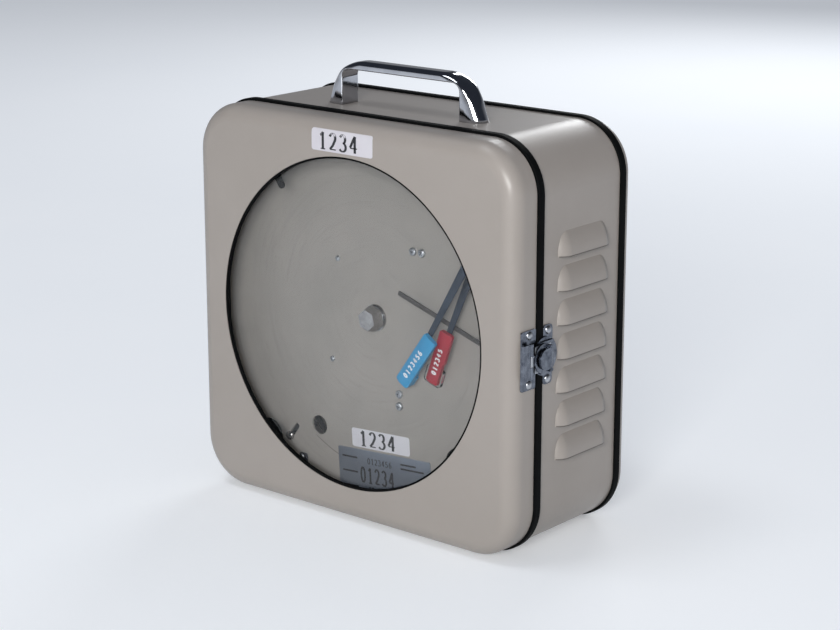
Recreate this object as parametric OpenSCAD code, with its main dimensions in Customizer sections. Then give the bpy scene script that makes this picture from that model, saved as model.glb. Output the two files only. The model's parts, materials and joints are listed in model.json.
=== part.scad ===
// Circular chart recorder for temperature and humidity, with a hinged windowed door.
// Right-handed, +Z up. X runs along the front, Y runs from the door to the rear cover.
// The origin is on the surface that it stands on, under the middle of the front trim,
// in the plane of the hinge pins.

/* [Case] */
// Width of the case across its flat sides
case_w = 241; // [225:1:280]
// Height of the case between its flat top and bottom
case_h = 237.5; // [225:0.5:280]
// Depth of the case body between the two trims
body_d = 71.5; // [66:0.5:95]
// Radius of the case's four long corners
corner_r = 30; // [26:1:36]
// Thickness of the case's sheet steel
wall = 1.5; // [1.2:0.1:2]

/* [Trims] */
// Width of each rubber trim along the case
trim_w = 5; // [4:0.5:7]
// Height of a trim above the painted sides
trim_proud = 1.5; // [1:0.1:2]
// Reach of a trim past the sheet's inner face
trim_in = 0.8; // [0.6:0.1:1.2]
// Depth of the groove that grips the sheet's edge
trim_grip = 3; // [2:0.5:3.5]
// Air between the sheet and its groove, on each face
grip_gap = 0.05; // [0.03:0.01:0.1]

/* [Door] */
// Depth of the door from its face to the front trim
door_d = 20; // [18:0.5:24]
// Radius of the door's rounded front edge
door_edge_r = 9.5; // [7:0.5:11]
// Thickness of the door's sheet steel
door_wall = 1.5; // [1.2:0.1:2]
// Air between the closed door and the front trim
door_gap = 0.3; // [0.2:0.1:0.6]
// Diameter of the window's hole in the door
window_d = 197.2; // [180:1:200]

/* [Window] */
// Thickness of the window pane
pane_t = 2; // [1.6:0.1:2.5]
// Rim of the pane that lies behind the door's sheet
pane_rim = 1.4; // [1.2:0.1:2]
// Width of the gasket's lip inside the window's hole
lip_w = 1.2; // [0.8:0.1:1.6]
// Thickness of the gasket between the sheet and the pane
gasket_t = 1; // [0.8:0.1:1.5]
// Wall of the gasket round the pane
gasket_wall = 2.2; // [1.8:0.1:2.6]
// Air round the pane in its gasket
pane_gap = 0.05; // [0.03:0.01:0.1]

/* [Window clips] */
// Thickness of a clip
clip_t = 1.2; // [0.8:0.1:1.6]
// Diameter of a round clip
clip_d = 20; // [18:0.5:22]
// Width of the straight clip
clip_tab_w = 4.4; // [4:0.2:6]
// Reach of the straight clip from its screw to its tip
clip_tab_l = 14.5; // [12:0.5:16]
// Diameter of a clip's post
clip_post_d = 5.4; // [5:0.1:6]
// Distance of a clip's post from the gasket
clip_post_gap = 0.2; // [0.1:0.05:0.4]
// Shank diameter of a clip's screw
clip_screw_d = 2.5; // [2:0.1:3]

/* [Rear cover] */
// Depth of the rear cover
cover_d = 7; // [6:0.5:10]
// Radius of the rear cover's edge
cover_edge_r = 5; // [4:0.5:6]
// Thickness of the rear cover's sheet
cover_wall = 1.2; // [1:0.1:1.5]
// Distance of a cover screw from the middle, along the width
cover_screw_x = 78; // [70:1:84]

/* [Louvres] */
// Number of louvres on each side
louvre_n = 7; // [5:1:8]
// Distance from one louvre to the next
louvre_pitch = 19.55; // [17:0.05:20]
// Height of the lowest louvre's open edge below the middle of the case
louvre_low = 65; // [55:1:70]
// Length of a louvre
louvre_l = 49; // [40:1:52]
// Height of a louvre
louvre_h = 14; // [11:0.5:15]
// Reach of a louvre out of the side
louvre_out = 4.5; // [3:0.5:5]
// Radius that rounds a louvre's ends
louvre_end_r = 9; // [7:0.5:11]
// Distance of the louvres' middle behind the case's middle
louvre_y = 1.75; // [0:0.25:4]

/* [Handle] */
// Distance of the handle's middle from the case's middle
handle_x = 3.5; // [-6:0.5:6]
// Clear span between the handle's feet
handle_span = 88; // [80:1:110]
// Width of a foot at its base
handle_foot = 14.6; // [12.5:0.1:16]
// Depth of the handle
handle_d = 14.6; // [12:0.2:18]
// Height of the handle above the case
handle_h = 26.5; // [24:0.5:34]
// Thickness of the grip
handle_bar = 5; // [4:0.5:7]
// Distance of the handle's middle in front of the case's middle
handle_y = 11.25; // [8:0.25:14]
// Radius of the outer bend
handle_bend = 26.4; // [20:0.2:28]
// Lean of a foot's outer side below the bend
handle_flare = 22; // [10:1:26]
// Radius of the inner bend
handle_in_r = 5; // [3:0.5:7]
// Corner radius of the handle's feet, seen from above
handle_corner = 5.5; // [3:0.5:7]
// Shank diameter of a handle screw
handle_screw_d = 5; // [4:0.5:6]
// Depth of the screw's hole in a foot
handle_hole_l = 9; // [7:1:10]

/* [Hinges] */
// Height of a hinge
hinge_h = 36; // [30:1:44]
// Distance of each hinge from the middle of the case
hinge_z = 62; // [50:1:66]
// Diameter of the hinge pin
hinge_pin_d = 3; // [2.5:0.5:3.5]
// Radius of the hinge knuckle
knuckle_r = 3; // [2.8:0.1:3.4]
// Thickness of a hinge leaf
leaf_t = 1.5; // [1.2:0.1:1.8]
// Air between a trim and a hinge knuckle
knuckle_gap = 1; // [0.8:0.1:1.4]
// Air between two knuckles along the pin
knuckle_side_gap = 0.3; // [0.2:0.05:0.5]
// Running clearance of a pin in its bore, on the radius
run_gap = 0.05; // [0.03:0.01:0.08]
// Shank diameter of a rivet
rivet_d = 3; // [2.5:0.5:3.5]

/* [Latch] */
// Height of the keeper and of the latch base
latch_h = 34; // [32:1:40]
// Thickness of the latch's sheet
latch_t = 1; // [0.8:0.1:1.2]
// Distance of the latch's middle below the case's middle
latch_low = 0.6; // [-2:0.1:2]
// Diameter of the round dish of the latch base
dish_d = 22; // [20:0.5:22]
// Diameter of the turning disc
disc_d = 17; // [16:0.2:17.4]
// Thickness of the disc
disc_t = 1.5; // [1.3:0.1:2]
// Width of the hooked link
link_w = 20; // [17:0.2:21]
// Offset of the cam from the disc's axle, half of the link's travel
cam_offset = 2; // [1.5:0.25:2]
// Radius of the cam
cam_r = 3.2; // [3:0.1:3.4]
// Diameter of the latch's axle
latch_axle_d = 2; // [1.8:0.1:2.2]
// Thickness of the folding wing
wing_t = 1.3; // [1:0.1:1.6]
// Radius of the wing's round end
wing_r = 6.1; // [5:0.1:6.2]

/* [Chart panel] */
// Depth of the panel's face behind the door's face
panel_at = 26; // [25.6:0.1:28]
// Thickness of the panel
panel_t = 1.5; // [1.2:0.1:2]
// Air round the panel in the case
panel_gap = 0.4; // [0.3:0.05:0.6]
// Distance of a panel screw from the middle, along the width
panel_screw_x = 80; // [70:1:86]
// Distance of a panel screw from the panel's edge
panel_screw_in = 8; // [7:0.5:10]
// Shank diameter of the small screws
screw_d = 3; // [2.5:0.5:3.5]

/* [Chart hub] */
// Diameter of the spindle
spindle_d = 6; // [5:0.5:7]
// Diameter of the hub's flange
flange_d = 16; // [14:0.5:18]
// Width of the clamp knob at its base, across its flats
knob_base = 14; // [12:0.5:15]
// Width of the clamp knob at its face, across its flats
knob_face = 11; // [9:0.5:12]
// Height of the clamp knob
knob_h = 6.8; // [6:0.2:7.2]

/* [Chart drive] */
// Number of teeth of the chart gear
gear_teeth = 48; // [36:4:48]
// Number of teeth of the motor's pinion
pinion_teeth = 12; // [10:1:14]
// Module of the gears
gear_m = 0.8; // [0.7:0.05:0.9]
// Width of the gear's teeth
gear_w = 2; // [1.5:0.5:3]
// Extra distance between the gears' centres
mesh_gap = 0.15; // [0.1:0.05:0.25]
// Diameter of the clock motor
motor_d = 40; // [34:1:44]
// Length of the clock motor
motor_l = 20; // [16:1:26]

/* [Pens] */
// Position of the arms' axis to the right of the hub
pivot_x = 85.2; // [84:0.2:88]
// Position of the arms' axis above the hub
pivot_z = 60.6; // [60:0.2:63]
// Diameter of the inner rod
rod_d = 3; // [2.5:0.5:3.5]
// Diameter of the outer tube
tube_d = 5; // [4.5:0.5:5.5]
// Width of an arm at its pen
arm_w = 3.2; // [2.4:0.2:3.4]
// Width of an arm at its root
arm_root_w = 5.6; // [4.4:0.2:5.8]
// Thickness of an arm
arm_t = 0.4; // [0.3:0.1:0.6]
// Direction of the front arm, as an angle from the width's axis
front_dir = 239.8; // [236:0.2:242]
// Direction of the rear arm
rear_dir = 247.2; // [245:0.2:250]
// Length of the front pen
front_pen_l = 37; // [32:0.5:38]
// Length of the rear pen
rear_pen_l = 32.8; // [30:0.2:33]
// Width of a pen
pen_w = 9.6; // [8:0.2:10]
// Thickness of a pen
pen_t = 3.1; // [2.6:0.1:3.2]
// Distance from the axis to the front pen's middle
front_pen_at = 87.8; // [86:0.2:88.4]
// Distance from the axis to the rear pen's middle
rear_pen_at = 78.7; // [77.6:0.1:79]
// Depth of the front arm behind the door's face
front_arm_at = 14.4; // [14.2:0.1:14.5]
// Depth of the rear arm behind the door's face
rear_arm_at = 18.6; // [18.5:0.1:18.7]

/* [Pen lifter] */
// Length of the lifter bar from its pin to its free end
lifter_l = 81; // [70:1:82]
// Width of the lifter bar
lifter_w = 2.6; // [2:0.2:3.2]
// Thickness of the lifter bar
lifter_t = 1; // [0.8:0.1:1.2]
// Position of the lifter's pin to the right of the hub
lifter_x = 99.5; // [98:0.5:101]
// Position of the lifter's pin below the hub
lifter_low = 5.2; // [4:0.2:7]
// Depth of the lifter bar behind the door's face
lifter_at = 19.5; // [19.4:0.1:20]

/* [Battery] */
// Diameter of the battery
battery_d = 14.2; // [13:0.2:15]
// Length of the battery
battery_l = 50; // [46:0.5:52]
// Position of the battery to the right of the hub
battery_x = 24; // [14:1:30]
// Position of the battery below the hub
battery_low = 82; // [76:1:90]

/* [Sensors] */
// Turns of the bimetal coil
coil_turns = 4; // [3:0.5:5]
// Outer radius of the bimetal coil
coil_r = 15; // [13:0.5:17]
// Width of the bimetal strip
coil_w = 11; // [8:0.5:13]
// Thickness of the bimetal strip
coil_t = 0.8; // [0.6:0.1:1]
// Length of the humidity element
element_l = 96; // [80:1:105]

/* [Hidden] */

// The seat of a pressed or bonded fit, on the radius
seat = 0.02;
// The size that a cut runs past a face
over = 1;
side_x = case_w / 2;
y_face = -(door_d + trim_w / 2);
y_front = trim_w / 2;
y_rear = y_front + body_d;
y_mid = (y_front + y_rear) / 2;
zc = trim_proud + case_h / 2;
z_top = zc + case_h / 2;
inner_w = case_w - 2 * wall;
inner_h = case_h - 2 * wall;
y_panel = y_face + panel_at;
y_back = y_panel + panel_t;

// Colours
putty = [0.62, 0.59, 0.55];
rubber = [0.07, 0.07, 0.07];
steel = [0.72, 0.73, 0.75];
chromed = [0.8, 0.81, 0.84];
dark = [0.2, 0.22, 0.26];
slate = [0.24, 0.3, 0.37];
brassy = [0.72, 0.58, 0.3];

// Helpers

// A shape drawn in X and Z, made solid from y0 to y1
module slab_y(y0, y1) {
  translate([0, y1, 0])
    rotate([90, 0, 0])
      linear_extrude(y1 - y0)
        children();
}

module rod_y(d, y0, y1, x, z) {
  translate([x, y1, z])
    rotate([90, 0, 0])
      cylinder(d = d, h = y1 - y0, $fn = 48);
}

module rod_x(d, x0, x1, y, z) {
  translate([x0, y, z])
    rotate([0, 90, 0])
      cylinder(d = d, h = x1 - x0, $fn = 48);
}

module rod_z(d, z0, z1, x, y) {
  translate([x, y, z0])
    cylinder(d = d, h = z1 - z0, $fn = 48);
}

module box_at(x0, x1, y0, y1, z0, z1) {
  translate([x0, y0, z0])
    cube([x1 - x0, y1 - y0, z1 - z0]);
}

// A rectangle with round corners, centred
module round_rect(w, h, r) {
  square([w - 2 * r, h], center = true);
  square([w, h - 2 * r], center = true);
  for (x = [-1, 1], z = [-1, 1])
    translate([x * (w / 2 - r), z * (h / 2 - r)])
      circle(r = r, $fn = 64);
}

// A slot with round ends, from the middle of one end
module slot_2d(l, w) {
  translate([0, -w / 2])
    square([l, w]);
  circle(d = w, $fn = 32);
  translate([l, 0])
    circle(d = w, $fn = 32);
}

// The section of a pan's rounded edge, from the corner's axis outward
module pan_edge(d, r, e) {
  square([r, d - e]);
  square([r - e, d]);
  translate([r - e, d - e])
    circle(r = e, $fn = 64);
}

// A box with round corners of radius r and a face rounded by e, its back on Z = 0
module pan(w, h, d, r, e) {
  for (k = [0 : 3]) {
    lx = (k % 2 == 0) ? w : h;
    ly = (k % 2 == 0) ? h : w;
    rotate([0, 0, 90 * k]) {
      translate([lx / 2 - r, ly / 2 - r, 0])
        intersection() {
          rotate_extrude($fn = 96)
            intersection() {
              pan_edge(d, r, e);
              square([r, d]);
            }
          cube([r + 1, r + 1, d]);
        }
      translate([lx / 2 - r, ly / 2 - r, 0])
        rotate([90, 0, 0])
          linear_extrude(ly - 2 * r)
            intersection() {
              pan_edge(d, r, e);
              square([r, d]);
            }
    }
  }
  translate([-(w / 2 - r), -(h / 2 - r), 0])
    cube([w - 2 * r, h - 2 * r, d]);
}

// A pan whose face looks to the front; its open back is at y
module front_pan(y, w, h, d, r, e) {
  translate([0, y, zc])
    rotate([90, 0, 0])
      pan(w, h, d, r, e);
}

// A screw along Y with a domed slotted head on its front end; its head seats at y
module screw_y(x, z, y, l, d, head, slot = 0) {
  head_h = d * 0.6;
  dome = head * 0.65;
  difference() {
    union() {
      rod_y(d, y, y + l, x, z);
      intersection() {
        rod_y(head, y - head_h, y, x, z);
        translate([x, y - head_h + dome, z])
          sphere(r = dome, $fn = 64);
      }
    }
    translate([x, y - head_h, z])
      rotate([0, slot, 0])
        cube([head + 1, d * 0.5, d * 0.24], center = true);
  }
}

// Case

louvre_rho = (louvre_h * louvre_h / louvre_out + louvre_out) / 2;
louvre_axis = side_x - (louvre_rho - louvre_out);

module louvre_turn(inset) {
  rad = louvre_rho - inset;
  e = louvre_end_r - inset;
  half = louvre_l / 2 - inset;
  rotate([-90, 0, 0])
    rotate_extrude($fn = 128)
      intersection() {
        union() {
          translate([0, -half])
            square([rad - e, 2 * half]);
          translate([0, -(half - e)])
            square([rad, 2 * (half - e)]);
          for (s = [-1, 1])
            translate([rad - e, s * (half - e)])
              circle(r = e, $fn = 64);
        }
        translate([0, -half])
          square([rad, 2 * half]);
      }
}

module louvres(inset, x_from) {
  for (k = [0 : louvre_n - 1]) {
    z0 = zc - louvre_low + k * louvre_pitch;
    intersection() {
      translate([louvre_axis, y_mid + louvre_y, z0])
        louvre_turn(inset);
      box_at(x_from, side_x + louvre_out + 1, y_mid + louvre_y - louvre_l,
        y_mid + louvre_y + louvre_l, z0, z0 + louvre_h + 2);
    }
  }
}

module case_body() {
  y0 = y_front - trim_grip + grip_gap;
  y1 = y_rear + trim_grip - grip_gap;
  color(putty)
    difference() {
      union() {
        difference() {
          translate([0, 0, zc])
            slab_y(y0, y1)
              round_rect(case_w, case_h, corner_r);
          translate([0, 0, zc])
            slab_y(y0 - over, y1 + over)
              round_rect(inner_w, inner_h, corner_r - wall);
        }
        louvres(0, side_x - wall / 2);
        mirror([1, 0, 0])
          louvres(0, side_x - wall / 2);
      }
      louvres(wall, side_x - wall - over);
      mirror([1, 0, 0])
        louvres(wall, side_x - wall - over);
      for (s = [-1, 1])
        rod_z(handle_screw_d + 4 * grip_gap, z_top - wall - over, z_top + over,
          handle_x + s * handle_screw_x, y_mid - handle_y);
      for (s = [-1, 1], t = [-1, 1])
        rod_x(rivet_d + 2 * grip_gap, -side_x - over, -side_x + wall + over,
          y_hinge + leaf_rivet, zc + s * hinge_z + t * hinge_h / 3.6);
      for (s = [-1, 1])
        rod_x(rivet_d + 2 * grip_gap, side_x - wall - over, side_x + over,
          y_base_rivet, z_latch + s * latch_rivet_z);
    }
}

module trim_ring(y0, y1, g0, g1) {
  color(rubber)
    translate([0, 0, zc])
      difference() {
        slab_y(y0, y1)
          round_rect(case_w + 2 * trim_proud, case_h + 2 * trim_proud, corner_r + trim_proud);
        slab_y(y0 - over, y1 + over)
          round_rect(inner_w - 2 * trim_in, inner_h - 2 * trim_in, corner_r - wall - trim_in);
        difference() {
          slab_y(g0, g1)
            round_rect(case_w + 2 * grip_gap, case_h + 2 * grip_gap, corner_r + grip_gap);
          slab_y(g0 - over, g1 + over)
            round_rect(inner_w - 2 * grip_gap, inner_h - 2 * grip_gap, corner_r - wall - grip_gap);
        }
      }
}

module front_trim() {
  trim_ring(y_front - trim_w, y_front, y_front - trim_grip, y_front + over);
}

module rear_trim() {
  trim_ring(y_rear, y_rear + trim_w, y_rear - over, y_rear + trim_grip);
}

y_cover = y_rear + trim_w;
y_cover_face = y_cover + cover_d;

module rear_cover() {
  color(putty)
    difference() {
      mirror([0, 1, 0])
        front_pan(-y_cover, case_w, case_h, cover_d, corner_r, cover_edge_r);
      mirror([0, 1, 0])
        front_pan(-y_cover + over, case_w - 2 * cover_wall, case_h - 2 * cover_wall,
          cover_d - cover_wall + over, corner_r - cover_wall, cover_edge_r - cover_wall);
      for (s = [-1, 1], t = [-1, 1])
        rod_y(screw_d + 4 * grip_gap, y_cover_face - cover_wall - over, y_cover_face + over,
          s * cover_screw_x, zc + t * cover_screw_z);
    }
}

bracket_t = 1.5;
bracket_w = 14;
bracket_l = 14;
plate_reach = 6;
panel_screw_z = inner_h / 2 - panel_gap - panel_screw_in;
y_cover_seat = y_cover_face - cover_wall;
shelf_top = case_h / 2 - max(cover_edge_r, wall + trim_in + 1);
cover_screw_z = shelf_top - plate_reach;

// One plate of a bracket, as wide as the bracket
module bracket_plate(x, y0, y1, z0, z1) {
  box_at(x - bracket_w / 2, x + bracket_w / 2, y0, y1, z0, z1);
}

module panel_bracket(x) {
  top = inner_h / 2;
  difference() {
    union() {
      bracket_plate(x, y_back, y_back + bracket_l, top - bracket_t, top);
      bracket_plate(x, y_back, y_back + bracket_t, panel_screw_z - plate_reach, top);
    }
    rod_y(screw_d + 2 * seat, y_back - over, y_back + bracket_t + over, x, panel_screw_z);
  }
}

module cover_bracket(x) {
  top = inner_h / 2;
  y_step = y_rear - over;
  difference() {
    union() {
      bracket_plate(x, y_step - bracket_l, y_step, top - bracket_t, top);
      bracket_plate(x, y_step - bracket_t, y_step, shelf_top - bracket_t, top);
      bracket_plate(x, y_step - bracket_t, y_cover_seat, shelf_top - bracket_t, shelf_top);
      bracket_plate(x, y_cover_seat - bracket_t, y_cover_seat, cover_screw_z - plate_reach,
        shelf_top);
    }
    rod_y(screw_d + 2 * seat, y_cover_seat - bracket_t - over, y_cover_seat + over, x,
      cover_screw_z);
  }
}

// Four angle brackets carry the chart panel and four stepped ones the rear cover
module case_brackets() {
  color(steel)
    translate([0, 0, zc])
      for (s = [-1, 1], t = [0, 1])
        mirror([0, 0, t]) {
          panel_bracket(s * panel_screw_x);
          cover_bracket(s * cover_screw_x);
        }
}

head_d = 5.6;

module case_screws() {
  color(steel) {
    for (s = [-1, 1], t = [-1, 1]) {
      screw_y(s * panel_screw_x, zc + t * panel_screw_z, y_panel, panel_t + 5, screw_d, head_d, 30);
      mirror([0, 1, 0])
        screw_y(s * cover_screw_x, zc + t * cover_screw_z, -y_cover_face, cover_wall + 5,
          screw_d, head_d, 60);
    }
    for (s = [-1, 1], t = [-1, 1])
      screw_y(pivot_x + s * stand_x, zc + pivot_z + t * stand_z, y_panel, panel_t + 6, screw_d,
        head_d, 20 * t);
  }
}

// Handle

handle_half = handle_span / 2 + handle_foot;
handle_screw_x = handle_span / 2 + handle_screw_d / 2 + 2;

// One side of the handle's outline: half the grip, the outer bend and the leaning foot
module handle_side_2d() {
  bend_end = handle_h - handle_bend * (1 - sin(handle_flare));
  bend_x = handle_half - handle_bend * cos(handle_flare) - bend_end * tan(handle_flare);
  square([bend_x, handle_h]);
  polygon([
    [0, 0],
    [handle_half, 0],
    [handle_half - bend_end * tan(handle_flare), bend_end],
    [0, bend_end]]);
  intersection() {
    translate([bend_x, handle_h - handle_bend])
      circle(r = handle_bend, $fn = 96);
    translate([0, bend_end])
      square([handle_half, handle_h]);
  }
}

module handle() {
  crown = 30;
  color(chromed)
    translate([handle_x, y_mid - handle_y, z_top])
      difference() {
        intersection() {
          slab_y(-handle_d / 2, handle_d / 2)
            difference() {
              union() {
                handle_side_2d();
                mirror([1, 0])
                  handle_side_2d();
              }
              translate([-handle_span / 2, -over])
                square([handle_span, handle_h - handle_bar - handle_in_r + over]);
              translate([-handle_span / 2 + handle_in_r, -over])
                square([handle_span - 2 * handle_in_r, handle_h - handle_bar + over]);
              for (s = [-1, 1])
                translate([s * (handle_span / 2 - handle_in_r), handle_h - handle_bar - handle_in_r])
                  circle(r = handle_in_r, $fn = 48);
            }
          rod_x(2 * crown, -handle_half - over, handle_half + over, 0, handle_h - crown);
          linear_extrude(handle_h + over)
            round_rect(2 * handle_half, handle_d, handle_corner);
        }
        for (s = [-1, 1])
          rod_z(handle_screw_d + 2 * seat, -over, handle_hole_l, s * handle_screw_x, 0);
      }
}

module handle_screws() {
  washer_t = 1;
  color(steel)
    for (s = [-1, 1])
      translate([handle_x + s * handle_screw_x, y_mid - handle_y, z_top - wall]) {
        difference() {
          rod_z(handle_screw_d * 2, -washer_t, 0, 0, 0);
          rod_z(handle_screw_d + 4 * grip_gap, -washer_t - over, over, 0, 0);
        }
        translate([0, 0, -washer_t])
          rotate([90, 0, 0])
            screw_y(0, 0, 0, washer_t + wall + handle_hole_l - over, handle_screw_d,
              handle_screw_d * 1.8, 45);
      }
}

// Hinges

x_hinge = -(side_x + trim_proud + knuckle_gap + knuckle_r);
y_hinge = y_front - trim_w / 2;
leaf_l = 13.2;
leaf_step = 3.6;
rivet_head = rivet_d * 1.75;
leaf_rivet = trim_w / 2 + leaf_step + rivet_head / 2 + 0.3;

// One leaf's section in X and Y for the case side, the axis at the origin
module leaf_2d(reach) {
  xw = -side_x - x_hinge;
  polygon([
    [xw, reach],
    [xw, trim_w / 2 + door_gap + 0.3],
    [xw - leaf_t - 0.3, trim_w / 2 + door_gap + 0.3],
    [knuckle_r * 0.86, knuckle_r * 0.5],
    [0, 0],
    [-knuckle_r * 0.5, knuckle_r * 0.86],
    [xw - leaf_t, trim_w / 2 + leaf_step],
    [xw - leaf_t, reach]]);
}

module plate_2d(reach) {
  xw = -side_x - x_hinge;
  polygon([
    [xw, reach],
    [xw, trim_w / 2 + door_gap + 0.3],
    [xw - leaf_t, trim_w / 2 + door_gap + 0.3],
    [xw - leaf_t, reach]]);
}

knuckle_l = (hinge_h - 2 * knuckle_side_gap) / 3;

// The case side has the outer two knuckles, the door side the middle one
module hinge_leaf(outer, reach) {
  difference() {
    union() {
      translate([0, 0, -hinge_h / 2])
        linear_extrude(hinge_h)
          plate_2d(reach);
      for (k = outer ? [-1, 1] : [0])
        translate([0, 0, k * (knuckle_l + knuckle_side_gap) - knuckle_l / 2])
          linear_extrude(knuckle_l) {
            leaf_2d(trim_w / 2 + 4);
            circle(r = knuckle_r, $fn = 48);
          }
    }
    rod_z(hinge_pin_d + (outer ? 2 * seat : 2 * run_gap), -hinge_h / 2 - over,
      hinge_h / 2 + over, 0, 0);
    for (t = [-1, 1])
      rod_x(rivet_d + 2 * grip_gap, 0, -x_hinge, leaf_rivet, t * hinge_h / 3.6);
  }
}

module hinge_body_leaves() {
  color(steel)
    for (s = [-1, 1])
      translate([x_hinge, y_hinge, zc + s * hinge_z])
        hinge_leaf(true, leaf_l);
}

module hinge_door_leaves() {
  color(steel)
    for (s = [-1, 1])
      translate([x_hinge, y_hinge, zc + s * hinge_z])
        mirror([0, 1, 0])
          hinge_leaf(false, leaf_l);
}

module hinge_pins() {
  color(chromed)
    for (s = [-1, 1])
      translate([x_hinge, y_hinge, zc + s * hinge_z]) {
        rod_z(hinge_pin_d, -hinge_h / 2 - 0.8, hinge_h / 2 + 0.8, 0, 0);
        rod_z(hinge_pin_d * 1.5, hinge_h / 2 + 0.05, hinge_h / 2 + 1.4, 0, 0);
        rod_z(hinge_pin_d * 1.5, -hinge_h / 2 - 1.4, -hinge_h / 2 - 0.05, 0, 0);
      }
}

// A rivet along X through a leaf and the sheet; its outer head seats at x
module rivet_x(x, y, z, grip, s) {
  head_h = rivet_d * 0.4;
  dome = rivet_head * 0.75;
  translate([x, y, z])
    rotate([0, s * 90, 0])
      rotate_extrude($fn = 48) {
        intersection() {
          square([rivet_head / 2, head_h]);
          translate([0, head_h - dome])
            circle(r = dome, $fn = 64);
        }
        translate([0, -grip])
          square([rivet_d / 2, grip]);
        translate([0, -grip - head_h * 0.7])
          square([rivet_head * 0.45, head_h * 0.7]);
      }
}

module body_rivets() {
  color(steel) {
    for (s = [-1, 1], t = [-1, 1])
      rivet_x(-side_x - leaf_t, y_hinge + leaf_rivet, zc + s * hinge_z + t * hinge_h / 3.6,
        leaf_t + wall, -1);
    for (s = [-1, 1])
      rivet_x(side_x + latch_t, y_base_rivet, z_latch + s * latch_rivet_z, latch_t + wall, 1);
  }
}

// Latch

z_latch = zc - latch_low;
y_dish = y_front + 0.8;
y_disc = y_front - 3.1;
y_base_front = y_front + 0.6;
y_base_back = y_front + 9;
y_base_rivet = y_front + 5;
latch_rivet_z = latch_h / 2 - 3;
trim_clear = 0.4;
x_base = side_x + trim_proud + trim_clear + latch_t;
x_disc = x_base + latch_t + 0.15;
x_disc_top = x_disc + disc_t;
x_wing = x_disc_top + 1.2;
x_link = x_base + 0.05 + latch_t / 2;
y_link = y_disc - 10;
link_knuckle = 1.2;
link_pin_d = 1;
// Half of the carriage's own knuckle, between the link's two
knuckle_half = 3;
wing_pin_d = 1;
wing_off = 2.7;
wing_lug = 0.6;
carriage_w = 15.2;
rail_w = 1.4;
y_keeper = y_face + door_edge_r - 3.2;
y_keeper_back = y_face + door_d - door_gap - 0.9;
y_keeper_rivet = (y_keeper + y_keeper_back) / 2 + 0.5;
ridge_h = 0.8;
hook_gap = 0.25;
hook_r = 1.4;

// A disc along X with a crowned outer face, its flat back at x
module crowned_disc(x, d, t, crown) {
  translate([x, 0, 0])
    rotate([0, 90, 0])
      rotate_extrude($fn = 96)
        intersection() {
          square([d / 2, t]);
          translate([0, t + 0.2 - crown])
            circle(r = crown, $fn = 128);
        }
}

module latch_base() {
  rail_z = carriage_w / 2 + 0.1 + rail_w / 2;
  color(chromed)
    translate([0, 0, z_latch])
      difference() {
        union() {
          translate([side_x, 0, 0])
            rotate([0, 90, 0])
              linear_extrude(latch_t)
                translate([0, (y_base_front + y_base_back) / 2])
                  round_rect(latch_h, y_base_back - y_base_front, 2.5);
          intersection() {
            translate([0, y_dish, 0])
              crowned_disc(side_x, dish_d, x_base - side_x, 3 * dish_d);
            union() {
              box_at(side_x, x_base, y_base_front, y_dish + dish_d, -dish_d, dish_d);
              box_at(x_base - latch_t, x_base, y_dish - dish_d, y_dish + dish_d, -dish_d, dish_d);
            }
          }
          for (s = [-1, 1])
            box_at(x_base - latch_t / 2, x_disc - 0.05, y_dish - 5.5, y_dish + 5.5,
              s * rail_z - rail_w / 2, s * rail_z + rail_w / 2);
        }
        for (s = [-1, 1])
          rod_x(rivet_d + 2 * grip_gap, side_x - over, x_base + over, y_base_rivet,
            s * latch_rivet_z);
        rod_x(latch_axle_d + 2 * seat, side_x - over, x_base + over, y_disc, 0);
      }
}

module latch_axle() {
  color(steel)
    translate([0, 0, z_latch])
      rod_x(latch_axle_d, x_base - latch_t, x_disc_top - 0.4, y_disc, 0);
}

module latch_disc() {
  color(chromed)
    translate([0, y_disc, z_latch])
      difference() {
        union() {
          crowned_disc(x_disc, disc_d, disc_t, 40);
          rod_x(2 * cam_r, x_base + 0.05, x_disc + 0.2, cam_offset, 0);
          for (s = [-1, 1])
            box_at(x_disc_top - 1, x_wing + 1, wing_off - 1.1, wing_off + 1.1,
              s * (wing_r + 0.2 + wing_lug) - wing_lug, s * (wing_r + 0.2 + wing_lug) + wing_lug);
          rod_z(wing_pin_d, -(wing_r + 0.4), wing_r + 0.4, x_wing, wing_off);
        }
        rod_x(latch_axle_d + 2 * run_gap, x_base - over, x_disc_top - 0.4 + run_gap, 0, 0);
      }
}

// The folding wing: a tab with a round end, which lies on the disc towards the door
module latch_wing() {
  straight = 3.4;
  color(chromed)
    translate([0, y_disc + wing_off, z_latch])
      difference() {
        union() {
          rod_z(2, -wing_r, wing_r, x_wing, 0);
          translate([x_wing - wing_t / 2, 0, 0])
            rotate([0, 90, 0])
              linear_extrude(wing_t) {
                translate([-wing_r, -straight])
                  square([2 * wing_r, straight]);
                difference() {
                  translate([0, -straight])
                    circle(r = wing_r, $fn = 96);
                  translate([-wing_r, 0])
                    square([2 * wing_r, wing_r]);
                }
              }
        }
        rod_z(wing_pin_d + 2 * run_gap, -wing_r - over, wing_r + over, x_wing, 0);
      }
}

module latch_carriage() {
  cut = cam_r + 0.55;
  color(steel)
    translate([0, y_disc, z_latch])
      difference() {
        union() {
          box_at(x_base + 0.05, x_base + 0.05 + latch_t, -7.2, cam_offset + cut + 1.2,
            -carriage_w / 2, carriage_w / 2);
          box_at(x_base + 0.05, x_base + 0.05 + latch_t, y_link - y_disc, -7.1,
            -knuckle_half, knuckle_half);
          rod_z(2 * link_knuckle, -knuckle_half, knuckle_half, x_link, y_link - y_disc);
        }
        box_at(x_base - over, x_disc + over, cam_offset - cut, cam_offset + cut,
          -cam_offset - cam_r - 0.3, cam_offset + cam_r + 0.3);
        rod_z(link_pin_d + 2 * seat, -knuckle_half - over, knuckle_half + over,
          x_link, y_link - y_disc);
      }
}

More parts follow.
